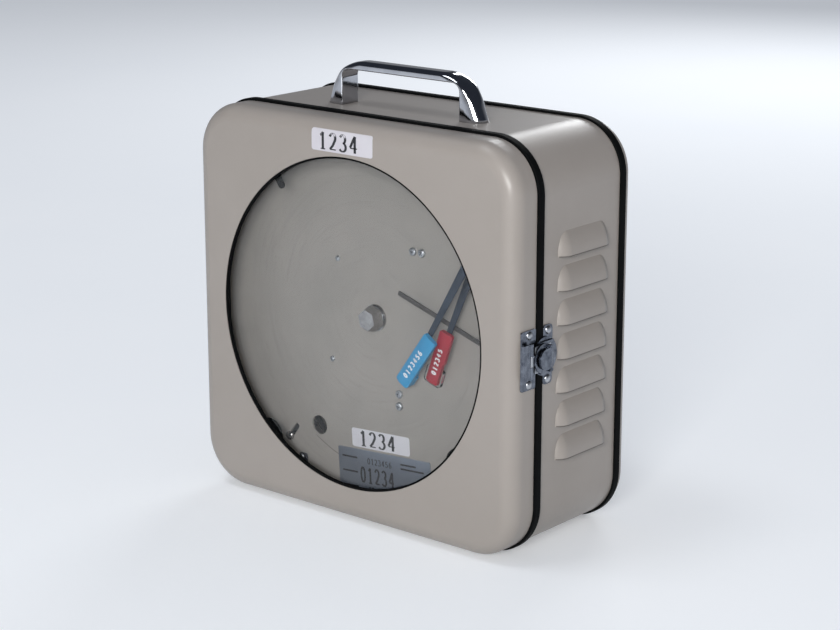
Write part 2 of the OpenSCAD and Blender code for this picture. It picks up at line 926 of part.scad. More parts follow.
module link_pin() {
  color(steel)
    translate([0, 0, z_latch])
      rod_z(link_pin_d, -link_w / 2, link_w / 2, x_link, y_link);
}

// The hooked link: it ends in a lip that stands just above the keeper's ridge
module latch_link() {
  y_tip = y_keeper - 1.9;
  k0 = knuckle_half + 0.2;
  k_mid = (link_w / 2 + k0) / 2;
  k_l = (link_w / 2 - k0) / 2;
  color(chromed)
    translate([0, 0, z_latch])
      difference() {
        union() {
          for (s = [-1, 1])
            translate([0, 0, s * k_mid]) {
              rod_z(2 * link_knuckle, -k_l, k_l, x_link, y_link);
              box_at(x_link - latch_t / 2, x_link + latch_t / 2, y_link - 1.6, y_link, -k_l, k_l);
            }
          box_at(x_link - latch_t / 2, x_link + latch_t / 2, y_tip + 0.9, y_link - 1.5,
            -link_w / 2, link_w / 2);
          rod_z(1, -link_w / 2 + 0.6, link_w / 2 - 0.6, x_link + latch_t / 2 - 0.1, y_link - 2.9);
          difference() {
            rod_z(2 * hook_r, -link_w / 2, link_w / 2, x_link + latch_t / 2 - hook_r,
              y_tip + hook_r);
            box_at(x_link - 4, x_link + latch_t / 2 - hook_r, y_tip + 1.2, y_tip + 4,
              -link_w, link_w);
          }
        }
        rod_z(link_pin_d + 2 * run_gap, -link_w, link_w, x_link, y_link);
        box_at(side_x - over, side_x + latch_t + ridge_h + hook_gap, y_tip - over, y_tip + 4,
          -link_w, link_w);
      }
}

module latch_keeper() {
  color(chromed)
    translate([0, 0, z_latch])
      difference() {
        union() {
          translate([side_x, 0, 0])
            rotate([0, 90, 0])
              linear_extrude(latch_t)
                translate([0, (y_keeper + y_keeper_back) / 2])
                  round_rect(latch_h, y_keeper_back - y_keeper, 1);
          box_at(side_x + latch_t / 2, side_x + latch_t + ridge_h, y_keeper + 0.4, y_keeper + 2.2,
            -link_w / 2, link_w / 2);
        }
        for (s = [-1, 1])
          rod_x(rivet_d + 2 * grip_gap, side_x - over, x_base + over, y_keeper_rivet,
            s * latch_rivet_z);
      }
}

// Chart panel and what is on it

// Places on the panel, from the hub, across and up
clock_singles = [[-29.5, 31], [-34.5, -31.5]];
clock_pairs = [[28.5, 44], [35, 44], [18, -43.4], [18, -50.8]];
sight_hole = [-46, -75.6];
slot_end = [-69.9, -87.1];
slot_turn = 53;
tab_at = [-60, -98.5];
small_d = 2;
small_head = 3.4;
stand_x = 17;
stand_z = 18;
bush_d = 9;

module panel_holes() {
  rod_y(spindle_d + 2 * run_gap, y_panel - over, y_back + over, 0, zc);
  for (s = [-1, 1], t = [-1, 1]) {
    rod_y(screw_d + 4 * grip_gap, y_panel - over, y_back + over,
      s * panel_screw_x, zc + t * panel_screw_z);
    rod_y(screw_d + 4 * grip_gap, y_panel - over, y_back + over,
      pivot_x + s * stand_x, zc + pivot_z + t * stand_z);
  }
  for (p = clock_singles)
    rod_y(small_d + 4 * grip_gap, y_panel - over, y_back + over, p[0], zc + p[1]);
  for (p = clock_pairs)
    rod_y(screw_d + 4 * grip_gap, y_panel - over, y_back + over, p[0], zc + p[1]);
  rod_y(12, y_panel - over, y_back + over, sight_hole[0], zc + sight_hole[1]);
  translate([slot_end[0], 0, zc + slot_end[1]])
    rotate([0, -slot_turn, 0])
      slab_y(y_panel - over, y_back + over)
        slot_2d(slot_l, slot_w);
  rod_y(small_d + 4 * grip_gap, y_panel - over, y_back + over, tab_at[0], zc + tab_at[1]);
  rod_y(bush_d + 2 * seat, y_panel - over, y_back + over, pivot_x, zc + pivot_z);
  in_frame(lifter_x, -lifter_low, lifter_dir)
    for (s = [-1, 1])
      rod_y(small_d + 4 * grip_gap, y_panel - over, y_back + over, 0, s * lifter_screw);
}

module chart_panel() {
  color([0.56, 0.55, 0.53])
    difference() {
      translate([0, 0, zc])
        slab_y(y_panel, y_back)
          round_rect(inner_w - 2 * panel_gap, inner_h - 2 * panel_gap, corner_r - wall - panel_gap);
      panel_holes();
    }
}

module clock_screws() {
  color(steel) {
    for (p = clock_singles)
      screw_y(p[0], zc + p[1], y_panel, panel_t + 5, small_d, small_head, 40);
    for (p = clock_pairs)
      screw_y(p[0], zc + p[1], y_panel, panel_t + 5, screw_d, 5, p[0] * 5);
    screw_y(tab_at[0], zc + tab_at[1], y_panel - tab_t, panel_t + 3, small_d, small_head, 10);
    in_frame(lifter_x, -lifter_low, lifter_dir)
      for (s = [-1, 1])
        screw_y(0, s * lifter_screw, y_panel - lifter_base_t, panel_t + 3, small_d, small_head, 0);
  }
}

tab_t = 0.8;

module panel_tab() {
  color(dark)
    difference() {
      translate([tab_at[0] + 1, 0, zc + tab_at[1] - 2])
        slab_y(y_panel - tab_t, y_panel)
          round_rect(6, 9, 1.2);
      rod_y(small_d + 2 * grip_gap, y_panel - tab_t - over, y_panel + over,
        tab_at[0], zc + tab_at[1]);
    }
}

slot_w = 3.6;
slot_l = 8.6;
stud_d = 3.2;

module switch_stud() {
  color(chromed)
    translate([slot_end[0], 0, zc + slot_end[1]]) {
      rod_y(stud_d, y_panel - 1.5, y_back + 4, 0, 0);
      intersection() {
        rod_y(5.4, y_panel - 3, y_panel - 0.3, 0, 0);
        translate([0, y_panel + 0.8, 0])
          sphere(r = 3.8, $fn = 64);
      }
    }
}

module switch_body() {
  color(dark)
    translate([slot_end[0], 0, zc + slot_end[1]])
      rotate([0, -slot_turn, 0])
        difference() {
          slab_y(y_back, y_back + 9)
            translate([slot_l / 2, 0])
              round_rect(slot_l + 10, 12, 1);
          slab_y(y_back - over, y_back + 5)
            slot_2d(slot_l, slot_w);
        }
}

label_t = 0.5;
label_w = 72;
label_h = 28;
label_x = 6.3;
label_low = 96.8;
label_tilt = 3.6;
sticker_t = 0.15;
sticker_w = 45;
sticker_h = 11.5;
sticker_x = 3;
sticker_low = 75.9;
sticker_tilt = 3.3;

module label_plate() {
  color([0.46, 0.49, 0.54])
    translate([label_x, 0, zc - label_low])
      rotate([0, -label_tilt, 0])
        slab_y(y_panel - label_t, y_panel)
          round_rect(label_w, label_h, 1);
}

module panel_sticker() {
  color([0.83, 0.82, 0.85])
    translate([sticker_x, 0, zc - sticker_low])
      rotate([0, -sticker_tilt, 0])
        slab_y(y_panel - sticker_t, y_panel)
          round_rect(sticker_w, sticker_h, 1.5);
}

// Clock

gear_y = y_back + 1;
frame_y = gear_y + gear_w + 2.5;
frame_t = 1.5;
frame_w = 86;
frame_h = 108;
frame_low = 3.4;
clock_post_d = 6;
drive_c = (gear_teeth + pinion_teeth) * gear_m / 2 + mesh_gap;
drive_dir = 210;
motor_x = drive_c * cos(drive_dir);
motor_z = drive_c * sin(drive_dir);
motor_shaft_d = 2.5;

module gear_2d(n, turn) {
  p = 360 / n;
  rp = n * gear_m / 2;
  ra = rp + 0.8 * gear_m;
  rf = rp - 1.05 * gear_m;
  sides = [[rf, -0.3], [rp, -0.2], [ra, -0.11], [ra, 0.11], [rp, 0.2], [rf, 0.3]];
  polygon([for (k = [0 : n - 1]) for (q = sides)
    let (a = turn + (k + q[1]) * p) [q[0] * cos(a), q[0] * sin(a)]]);
}

module chart_gear() {
  color(brassy)
    translate([0, 0, zc])
      difference() {
        union() {
          slab_y(gear_y, gear_y + gear_w)
            gear_2d(gear_teeth, drive_dir + 180 / gear_teeth);
          rod_y(spindle_d + 5, gear_y, gear_y + gear_w + 1.5, 0, 0);
        }
        rod_y(spindle_d + 2 * seat, gear_y - over, frame_y, 0, 0);
      }
}

module motor_pinion() {
  color(brassy)
    translate([motor_x, 0, zc + motor_z]) {
      slab_y(gear_y - 0.2, gear_y + gear_w + 0.2)
        gear_2d(pinion_teeth, drive_dir + 180);
      rod_y(motor_shaft_d, gear_y + gear_w, frame_y + frame_t + 5, 0, 0);
    }
}

module clock_frame() {
  color(brassy)
    difference() {
      union() {
        translate([0, 0, zc - frame_low])
          slab_y(frame_y, frame_y + frame_t)
            round_rect(frame_w, frame_h, 6);
        for (p = concat(clock_singles, clock_pairs))
          rod_y(clock_post_d, y_back, frame_y + frame_t, p[0], zc + p[1]);
      }
      rod_y(spindle_d + 2 * run_gap, frame_y - over, frame_y + frame_t + over, 0, zc);
      rod_y(motor_shaft_d + 4 * grip_gap, frame_y - over, frame_y + frame_t + over,
        motor_x, zc + motor_z);
      for (p = clock_singles)
        rod_y(small_d + 2 * seat, y_back - over, y_back + 5.2, p[0], zc + p[1]);
      for (p = clock_pairs)
        rod_y(screw_d + 2 * seat, y_back - over, y_back + 5.2, p[0], zc + p[1]);
    }
}

module clock_motor() {
  y0 = frame_y + frame_t;
  color([0.5, 0.5, 0.48])
    translate([motor_x, 0, zc + motor_z])
      difference() {
        union() {
          rod_y(motor_d, y0, y0 + motor_l, 0, 0);
          rod_y(motor_d * 0.3, y0 + motor_l - over, y0 + motor_l + 2, 0, 0);
        }
        rod_y(motor_shaft_d + 2 * run_gap, y0 - over, y0 + 5.2, 0, 0);
      }
}

// Hub

flange_t = 1.2;
washer_t = 0.6;
paper_gap = 0.2;
thread_d = spindle_d - 1;
y_flange = y_panel - paper_gap - flange_t;
y_washer = y_flange - paper_gap - washer_t;
y_knob = y_washer - 0.05;

module chart_hub() {
  color(chromed)
    translate([0, 0, zc]) {
      rod_y(flange_d, y_flange, y_flange + flange_t, 0, 0);
      rod_y(spindle_d, y_flange, frame_y + frame_t - 0.2, 0, 0);
      rod_y(thread_d, y_knob - knob_h + 1, y_flange + 0.5, 0, 0);
    }
}

module clamp_washer() {
  color(steel)
    translate([0, 0, zc])
      difference() {
        rod_y(flange_d - 2, y_washer, y_washer + washer_t, 0, 0);
        rod_y(thread_d + 2 * run_gap, y_washer - over, y_flange, 0, 0);
      }
}

// The knob tapers from its base to its face on six flats
module clamp_knob() {
  lean = atan((knob_base - knob_face) / 2 / knob_h);
  color(chromed)
    translate([0, y_knob, zc])
      rotate([90, 0, 0])
        difference() {
          cylinder(d = knob_base * 1.1, h = knob_h, $fn = 64);
          for (k = [0 : 5])
            rotate([0, 0, 60 * k + 12])
              translate([knob_base / 2, -knob_base, 0])
                rotate([0, -lean, 0])
                  translate([0, 0, -knob_h])
                    cube([knob_base, 2 * knob_base, 3 * knob_h]);
          translate([0, 0, -over])
            cylinder(d = thread_d + 2 * run_gap, h = knob_h - 0.95 + over, $fn = 48);
        }
}

// Battery

module battery_holder() {
  color([0.12, 0.12, 0.13])
    translate([battery_x, 0, zc - battery_low])
      difference() {
        box_at(-battery_l / 2 - holder_end, battery_l / 2 + holder_end, y_back,
          y_back + battery_d, -battery_d / 2 - holder_wall - 0.3, battery_d / 2 + holder_wall + 0.3);
        box_at(-battery_l / 2 - holder_end + holder_wall, battery_l / 2 + holder_end - holder_wall,
          y_back + holder_wall, y_back + battery_d + over, -battery_d / 2 - 0.3, battery_d / 2 + 0.3);
      }
}

module battery() {
  yb = y_back + holder_wall + 0.3 + battery_d / 2;
  color([0.25, 0.3, 0.36])
    translate([battery_x, 0, zc - battery_low]) {
      rod_x(battery_d, -battery_l / 2, battery_l / 2 - 1.5, yb, 0);
      rod_x(battery_d * 0.38, battery_l / 2 - 1.6, battery_l / 2, yb, 0);
    }
}

holder_wall = 1.5;
holder_end = 3;

// Pen arms

// A frame at (x, z) from the hub whose X points along dir
module in_frame(x, z, dir) {
  translate([x, 0, zc + z])
    rotate([0, -dir, 0])
      children();
}

y_farm = y_face + front_arm_at;
y_rarm = y_face + rear_arm_at;
hub_r = 4.5;
hub_front = 1.2;
hub_back = 1.2;
lift_at = 9;
lift_pin_d = 1.2;
eye_d = 2.4;
eye_l = 3;
sensor_depth = 38.5;
y_sensor = y_back + sensor_depth;
y_lever = y_sensor + 6;
lever_l = 6;
coil_hub_r = 5;
coil_gap = 0.3;
y_coil = y_back + 12;

// A clevis on the arms' axis that holds an arm's lift pin
module arm_clevis(y) {
  difference() {
    union() {
      rod_y(2 * hub_r, y - hub_front, y + arm_t + hub_back, 0, 0);
      box_at(0, lift_at + 1.2, y - hub_front, y + arm_t + hub_back, -2.9, 2.9);
    }
    box_at(lift_at - 3, lift_at + 3, y - hub_front - over, y + arm_t + hub_back + over,
      -eye_l / 2 - 0.1, eye_l / 2 + 0.1);
  }
  rod_z(lift_pin_d, -2.9, 2.9, lift_at, y + arm_t / 2);
}

module arm_rod() {
  color(steel) {
    in_frame(pivot_x, pivot_z, front_dir)
      arm_clevis(y_farm);
    rod_y(rod_d, y_farm, y_lever + 2, pivot_x, zc + pivot_z);
    translate([pivot_x, 0, zc + pivot_z])
      slab_y(y_lever, y_lever + 2) {
        circle(d = rod_d + 3, $fn = 48);
        translate([0, -1.5])
          square([lever_l, 3]);
        translate([lever_l, 0])
          circle(d = 3.6, $fn = 32);
      }
    rod_y(1.5, y_lever + 1, y_lever + 5, pivot_x + lever_l, zc + pivot_z);
  }
}

module arm_tube() {
  color(brassy)
    difference() {
      union() {
        in_frame(pivot_x, pivot_z, rear_dir)
          arm_clevis(y_rarm);
        rod_y(tube_d, y_rarm, y_sensor + 4, pivot_x, zc + pivot_z);
        rod_y(2 * coil_hub_r, y_coil, y_coil + coil_w, pivot_x, zc + pivot_z);
      }
      rod_y(rod_d + 2 * run_gap, y_rarm - hub_front - over, y_sensor + 4 + over,
        pivot_x, zc + pivot_z);
    }
}

// An arm is narrow in its clevis, widest just past it, and tapers to its pen
module arm_strip(y, l) {
  neck = eye_l / 2 - 0.1;
  root = lift_at + 1.8;
  difference() {
    union() {
      rod_z(eye_d, -eye_l / 2, eye_l / 2, lift_at, y + arm_t / 2);
      slab_y(y, y + arm_t)
        polygon([
          [lift_at, -neck],
          [root, -neck],
          [root + 2, -arm_root_w / 2],
          [l, -arm_w / 2],
          [l, arm_w / 2],
          [root + 2, arm_root_w / 2],
          [root, neck],
          [lift_at, neck]]);
    }
    rod_z(lift_pin_d + 2 * run_gap, -eye_l, eye_l, lift_at, y + arm_t / 2);
  }
}

module front_arm() {
  color(slate)
    in_frame(pivot_x, pivot_z, front_dir)
      arm_strip(y_farm, front_pen_at - front_pen_l / 2 + 13);
}

module rear_arm() {
  color(slate)
    in_frame(pivot_x, pivot_z, rear_dir)
      arm_strip(y_rarm, rear_pen_at - rear_pen_l / 2 + 13);
}

// A pen lies with its middle at the origin; its crowned face looks to the front
module pen_blank(l, w, t, y) {
  crown = 12;
  intersection() {
    slab_y(y - t, y)
      round_rect(l, w, 1.2);
    rod_x(2 * crown, -l, l, y - t + crown, 0);
  }
}

front_tilt = -5.7;
rear_tilt = 3.3;
foot_l = 7;
nib_d = 2.4;
nib_tip_d = 0.7;
nib_gap = 0.3;

module front_place() {
  in_frame(pivot_x, pivot_z, front_dir + 0.5)
    translate([front_pen_at, 0, 0])
      rotate([0, -front_tilt, 0])
        children();
}

module rear_place() {
  in_frame(pivot_x, pivot_z, rear_dir + 0.6)
    translate([rear_pen_at, 0, 0])
      rotate([0, -rear_tilt, 0])
        children();
}

front_foot = 5;
rear_foot = 2.4;

module blue_pen() {
  y = y_farm - 0.05;
  color([0.15, 0.58, 0.8])
    front_place()
      difference() {
        union() {
          pen_blank(front_pen_l, pen_w, pen_t, y);
          box_at(front_pen_l / 2 - foot_l, front_pen_l / 2 - 0.4, y - 1, y + front_foot,
            -pen_w / 2 + 0.8, pen_w / 2 - 0.8);
        }
        rod_y(nib_d + 2 * seat, y, y + front_foot + over, front_pen_l / 2 - foot_l / 2, 0);
      }
}

module red_pen() {
  y = y_rarm - 0.05;
  color([0.72, 0.09, 0.2])
    rear_place()
      difference() {
        union() {
          pen_blank(rear_pen_l, pen_w - 0.4, pen_t, y);
          box_at(rear_pen_l / 2 - foot_l, rear_pen_l / 2 - 0.4, y - 1, y + rear_foot, -3, 3);
        }
        box_at(2, rear_pen_l, y - pen_t - over, y + over, pen_w / 2 - 1, pen_w);
        rod_y(nib_d + 2 * seat, y, y + rear_foot + over, rear_pen_l / 2 - foot_l / 2, 0);
      }
}

module nib(y0, y1) {
  rod_y(nib_d, y0, y1 - 3, 0, 0);
  translate([0, y1, 0])
    rotate([90, 0, 0])
      cylinder(d1 = nib_tip_d, d2 = nib_d, h = 3, $fn = 48);
}

module blue_nib() {
  color([0.08, 0.2, 0.4])
    front_place()
      translate([front_pen_l / 2 - foot_l / 2, 0, 0])
        nib(y_farm, y_panel - nib_gap);
}

module red_nib() {
  color([0.4, 0.05, 0.1])
    rear_place()
      translate([rear_pen_l / 2 - foot_l / 2, 0, 0])
        nib(y_rarm, y_panel - nib_gap);
}

// The clear guard behind the red pen's lower end
module pen_guard() {
  y = y_rarm - 0.05;
  color([0.85, 0.87, 0.88, 0.5])
    rear_place()
      difference() {
        translate([rear_pen_l / 2 - 3, 0, -1.6])
          slab_y(y + 0.05, y + rear_foot)
            round_rect(11, 12.6, 2);
        box_at(rear_pen_l / 2 - foot_l - 0.1, rear_pen_l / 2 - 0.3, y - over, y + rear_foot + over,
          -3.1, 3.1);
      }
}

// Pen lifter

lifter_dir = 162;
lifter_screw = 5.6;
lifter_base_t = 1;
lifter_pin_d = 1.5;
y_lift = y_face + lifter_at;

module pen_lifter() {
  color([0.4, 0.4, 0.42])
    in_frame(lifter_x, -lifter_low, lifter_dir)
      difference() {
        union() {
          rod_z(lifter_t + 2, -1.3, 1.3, 0, y_lift + lifter_t / 2);
          box_at(0, lifter_l, y_lift, y_lift + lifter_t, -lifter_w / 2, lifter_w / 2);
          box_at(-9, 0, y_lift, y_lift + lifter_t, -1.3, 1.3);
          box_at(-9, -6.5, y_lift - 2.5, y_lift + lifter_t, -3, 3);
        }
        rod_z(lifter_pin_d + 2 * run_gap, -3, 3, 0, y_lift + lifter_t / 2);
      }
}

module lifter_bracket() {
  color(steel)
    in_frame(lifter_x, -lifter_low, lifter_dir) {
      difference() {
        union() {
          slab_y(y_panel - lifter_base_t, y_panel)
            round_rect(7, 16, 1.5);
          for (s = [-1, 1])
            box_at(-2, 2, y_lift - 0.8, y_panel - 0.5, s * 2.3 - 0.8, s * 2.3 + 0.8);
        }
        for (s = [-1, 1])
          rod_y(small_d + 2 * grip_gap, y_panel - 2, y_panel + over, 0, s * lifter_screw);
      }
      rod_z(lifter_pin_d, -2.9, 2.9, 0, y_lift + lifter_t / 2);
    }
}

// Sensors

module shaft_bushes() {
  color(brassy)
    translate([pivot_x, 0, zc + pivot_z])
      difference() {
        union() {
          rod_y(bush_d, y_panel, y_back + 3, 0, 0);
          rod_y(bush_d + 3, y_panel - 1, y_panel, 0, 0);
          rod_y(bush_d, y_sensor, y_sensor + plate_t + 1, 0, 0);
          rod_y(bush_d + 3, y_sensor - 1, y_sensor, 0, 0);
        }
        rod_y(tube_d + 2 * run_gap, y_panel - 2, y_sensor + 6, 0, 0);
      }
}

plate_t = 1.5;
post_x = coil_r + 2 + 0.5;

module sensor_plate() {
  color(steel)
    translate([pivot_x, 0, zc + pivot_z])
      difference() {
        union() {
          slab_y(y_sensor, y_sensor + plate_t)
            round_rect(2 * stand_x + 12, 2 * stand_z + 12, 4);
          for (s = [-1, 1], t = [-1, 1])
            rod_y(6, y_back, y_sensor + 0.5, s * stand_x, t * stand_z);
          rod_y(4, y_coil - 1, y_sensor + 0.5, post_x, 0);
        }
        rod_y(bush_d + 2 * seat, y_sensor - over, y_sensor + plate_t + over, 0, 0);
        for (s = [-1, 1], t = [-1, 1])
          rod_y(screw_d + 2 * seat, y_back - over, y_back + 6.2, s * stand_x, t * stand_z);
      }
}

// The bimetal coil: a flat spiral whose outer end meets the post
module bimetal_coil() {
  n = 24 * coil_turns;
  r0 = coil_hub_r + coil_gap + coil_t / 2;
  r1 = coil_r - coil_t / 2;
  pts = function(off) [for (k = [0 : n]) let (a = 360 * coil_turns * (k / n - 1),
    r = r0 + (r1 - r0) * k / n + off) [r * cos(a), r * sin(a)]];
  color([0.62, 0.5, 0.3])
    translate([pivot_x, 0, zc + pivot_z])
      slab_y(y_coil, y_coil + coil_w) {
        polygon(concat(pts(coil_t / 2), [for (k = [n : -1 : 0]) pts(-coil_t / 2)[k]]));
        translate([r1 - coil_t / 2, -coil_t / 2])
          square([post_x - 2 - r1 + coil_t / 2 - 0.02, coil_t]);
      }
}

element_w = 9;
element_t = 0.6;
clamp_t = 1;
y_element = y_lever + 2 + 0.5 + clamp_t;
element_top = pivot_z - 4.6;

module humidity_element() {
  color([0.8, 0.76, 0.64])
    translate([pivot_x + lever_l, 0, zc + element_top - element_l / 2])
      slab_y(y_element, y_element + element_t)
        square([element_w, element_l], center = true);
}

// The element's upper clamp with its slotted eye, its lower clamp and the post that holds it
module element_mounts() {
  x = pivot_x + lever_l;
  z0 = zc + element_top - element_l;
  color(steel) {
    difference() {
      translate([x, 0, zc + pivot_z - 0.5])
        slab_y(y_element - clamp_t, y_element)
          round_rect(element_w + 1, 17, 1);
      translate([x, 0, zc + pivot_z - 1.6])
        rotate([0, -90, 0])
          slab_y(y_element - 3, y_element + over)
            slot_2d(5, 4);
    }
    rod_y(8, y_back, y_element, x, z0 + 5);
    translate([x, 0, z0 + 4])
      slab_y(y_element + element_t, y_element + element_t + clamp_t)
        round_rect(element_w + 1, 8, 1);
  }
}

// Door

hole_r = window_d / 2;
pane_r = hole_r + pane_rim;
gasket_r = pane_r + pane_gap + gasket_wall;
post_r = gasket_r + clip_post_gap + clip_post_d / 2;
y_sheet = y_face + door_wall;
y_pane = y_sheet + gasket_t;
y_pane_back = y_pane + pane_t;
y_door_back = y_face + door_d - door_gap;
round_clips = [45, 230, 320];
tab_clip = 126;

module door_shell() {
  color(putty)
    difference() {
      union() {
        difference() {
          front_pan(y_door_back, case_w, case_h, door_d - door_gap, corner_r, door_edge_r);
          front_pan(y_door_back + over, case_w - 2 * door_wall, case_h - 2 * door_wall,
            door_d - door_gap - door_wall + over, corner_r - door_wall, door_edge_r - door_wall);
        }
        for (a = concat(round_clips, [tab_clip]))
          rod_y(clip_post_d, y_face + door_wall / 2, y_pane_back,
            post_r * cos(a), zc + post_r * sin(a));
      }
      rod_y_fine(window_d, y_face - over, y_sheet + over, 0, zc);
      for (a = concat(round_clips, [tab_clip]))
        rod_y(clip_screw_d + 2 * seat, y_pane_back - 2.6, y_pane_back + over,
          post_r * cos(a), zc + post_r * sin(a));
      for (s = [-1, 1], t = [-1, 1])
        rod_x(rivet_d + 2 * grip_gap, -side_x - over, -side_x + door_wall + over,
          y_hinge - leaf_rivet, zc + s * hinge_z + t * hinge_h / 3.6);
      for (s = [-1, 1])
        rod_x(rivet_d + 2 * grip_gap, side_x - door_wall - over, side_x + over,
          y_keeper_rivet, z_latch + s * latch_rivet_z);
    }
}

module rod_y_fine(d, y0, y1, x, z) {
  translate([x, y1, z])
    rotate([90, 0, 0])
      cylinder(d = d, h = y1 - y0, $fn = 256);
}

module window_gasket() {
  lip = hole_r - lip_w;
  edge = hole_r - grip_gap;
  color(rubber)
    translate([0, y_face, zc])
      rotate([-90, 0, 0])
        rotate_extrude($fn = 256)
          polygon([
            [lip, 0.3],
            [edge, 0.3],
            [edge, door_wall],
            [gasket_r, door_wall],
            [gasket_r, door_wall + gasket_t + pane_t],
            [pane_r + pane_gap, door_wall + gasket_t + pane_t],
            [pane_r + pane_gap, door_wall + gasket_t],
            [lip, door_wall + gasket_t]]);
}

module window_pane() {
  color([0.8, 0.88, 0.9, 0.25])
    rod_y_fine(2 * pane_r, y_pane, y_pane_back, 0, zc);
}

module window_clips() {
  color(rubber) {
    for (a = round_clips)
      difference() {
        rod_y(clip_d, y_pane_back, y_pane_back + clip_t, post_r * cos(a), zc + post_r * sin(a));
        rod_y(clip_screw_d + 2 * grip_gap, y_pane_back - over, y_pane_back + clip_t + over,
          post_r * cos(a), zc + post_r * sin(a));
      }
    translate([post_r * cos(tab_clip), 0, zc + post_r * sin(tab_clip)])
      rotate([0, -tab_clip - 180, 0])
        difference() {
          slab_y(y_pane_back, y_pane_back + clip_t) {
            slot_2d(clip_tab_l - clip_tab_w / 2, clip_tab_w);
            circle(d = clip_post_d + 1, $fn = 32);
          }
          rod_y(clip_screw_d + 2 * grip_gap, y_pane_back - over, y_pane_back + clip_t + over, 0, 0);
        }
  }
}

module clip_screws() {
  color(steel)
    for (a = concat(round_clips, [tab_clip]))
      translate([post_r * cos(a), 0, zc + post_r * sin(a)])
        mirror([0, 1, 0])
          screw_y(0, 0, -y_pane_back - clip_t, clip_t + 2.4, clip_screw_d, 5, a);
}

module door_rivets() {
  color(steel) {
    for (s = [-1, 1], t = [-1, 1])
      rivet_x(-side_x - leaf_t, y_hinge - leaf_rivet, zc + s * hinge_z + t * hinge_h / 3.6,
        leaf_t + door_wall, -1);
    for (s = [-1, 1])
      rivet_x(side_x + latch_t, y_keeper_rivet, z_latch + s * latch_rivet_z, latch_t + door_wall, 1);
  }
}

// The door's sticker lies on the face and runs a little way over the rounded edge
module door_sticker() {
  z_bend = zc + case_h / 2 - door_edge_r;
  color([0.83, 0.82, 0.85])
    intersection() {
      translate([-3, 0, zc + 106.8])
        slab_y(y_face - over, y_face + 3)
          round_rect(46, 12.7, 1.5);
      union() {
        box_at(-40, 40, y_face - sticker_t, y_face, z_bend - 20, z_bend);
        difference() {
          rod_x(2 * (door_edge_r + sticker_t), -40, 40, y_face + door_edge_r, z_bend);
          rod_x(2 * door_edge_r, -41, 41, y_face + door_edge_r, z_bend);
          box_at(-42, 42, y_face - 1, y_face + 30, z_bend - 20, z_bend);
        }
      }
    }
}

case_body();
front_trim();
rear_trim();
rear_cover();
case_brackets();
case_screws();
handle();
handle_screws();
hinge_body_leaves();
hinge_pins();
body_rivets();
latch_base();
latch_axle();
latch_disc();
latch_wing();
latch_carriage();
latch_link();
link_pin();
chart_panel();
panel_tab();
clock_frame();
clock_screws();
clock_motor();
motor_pinion();
chart_hub();
chart_gear();
clamp_washer();
clamp_knob();
battery_holder();
battery();
switch_body();
switch_stud();
label_plate();
panel_sticker();
shaft_bushes();
sensor_plate();
bimetal_coil();
humidity_element();
element_mounts();
arm_rod();
arm_tube();
front_arm();
rear_arm();
blue_pen();
red_pen();
blue_nib();
red_nib();
pen_guard();
pen_lifter();
lifter_bracket();
door_shell();
window_gasket();
window_pane();
window_clips();
clip_screws();
hinge_door_leaves();
door_rivets();
latch_keeper();
door_sticker();
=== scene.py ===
import json
import math

import bmesh
import bpy
from mathutils import Matrix, Vector


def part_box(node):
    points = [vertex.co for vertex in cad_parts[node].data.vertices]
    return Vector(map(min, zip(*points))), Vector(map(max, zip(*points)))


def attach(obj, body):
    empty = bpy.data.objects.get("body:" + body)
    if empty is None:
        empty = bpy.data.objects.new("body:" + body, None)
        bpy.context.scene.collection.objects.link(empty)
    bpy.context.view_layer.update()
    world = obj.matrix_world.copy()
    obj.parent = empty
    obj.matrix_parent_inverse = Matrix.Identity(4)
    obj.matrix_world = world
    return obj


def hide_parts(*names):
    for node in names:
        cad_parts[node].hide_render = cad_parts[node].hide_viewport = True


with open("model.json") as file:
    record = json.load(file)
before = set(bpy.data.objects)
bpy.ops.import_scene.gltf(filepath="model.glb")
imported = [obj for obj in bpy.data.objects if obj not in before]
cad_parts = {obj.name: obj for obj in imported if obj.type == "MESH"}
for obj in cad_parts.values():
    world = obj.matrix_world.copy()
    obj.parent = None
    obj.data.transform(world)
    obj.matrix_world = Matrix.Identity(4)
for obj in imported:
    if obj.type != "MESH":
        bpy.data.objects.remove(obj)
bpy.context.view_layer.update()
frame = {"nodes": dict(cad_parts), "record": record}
scene = bpy.context.scene


# The camera stands to the right of the recorder and a little above it,
# and looks down on the door and on the latch side.
camera_place = Vector((0.813999, -0.926672, 0.456956))
camera_aim = Vector((0.021049, 0.0175, 0.12232))
camera_lens = 93.886
camera_data = bpy.data.cameras.new("camera")
camera_data.lens = camera_lens
camera_data.sensor_width = 36
camera_data.clip_start = 0.05
camera_data.clip_end = 60
camera = bpy.data.objects.new("camera", camera_data)
camera.location = camera_place
camera.rotation_mode = "QUATERNION"
camera.rotation_quaternion = (camera_aim - camera_place).to_track_quat("-Z", "Y")
scene.collection.objects.link(camera)
scene.camera = camera
scene.view_settings.view_transform = "Standard"


# The floor is one wide sheet of pale matt card that the recorder stands on.
# It is the first piece with a material, so the small tools for materials are here.
def tone(red, green, blue):
    """A colour as a screen shows it, from 0 to 255, as the shaders take it."""
    parts = [v / 255 for v in (red, green, blue)]
    return tuple(v / 12.92 if v <= 0.04045 else ((v + 0.055) / 1.055) ** 2.4 for v in parts) + (1,)


def join(tree, socket, value):
    """Links a socket to another one, or sets its value."""
    if isinstance(value, bpy.types.NodeSocket):
        tree.links.new(value, socket)
    else:
        socket.default_value = value


def place(tree, kind, options=None, **inputs):
    """Puts a shader node in a tree, with its options and its inputs."""
    made = tree.nodes.new("ShaderNode" + kind)
    for name, value in (options or {}).items():
        setattr(made, name, value)
    for name, value in inputs.items():
        join(tree, made.inputs[name.replace("_", " ")], value)
    return made


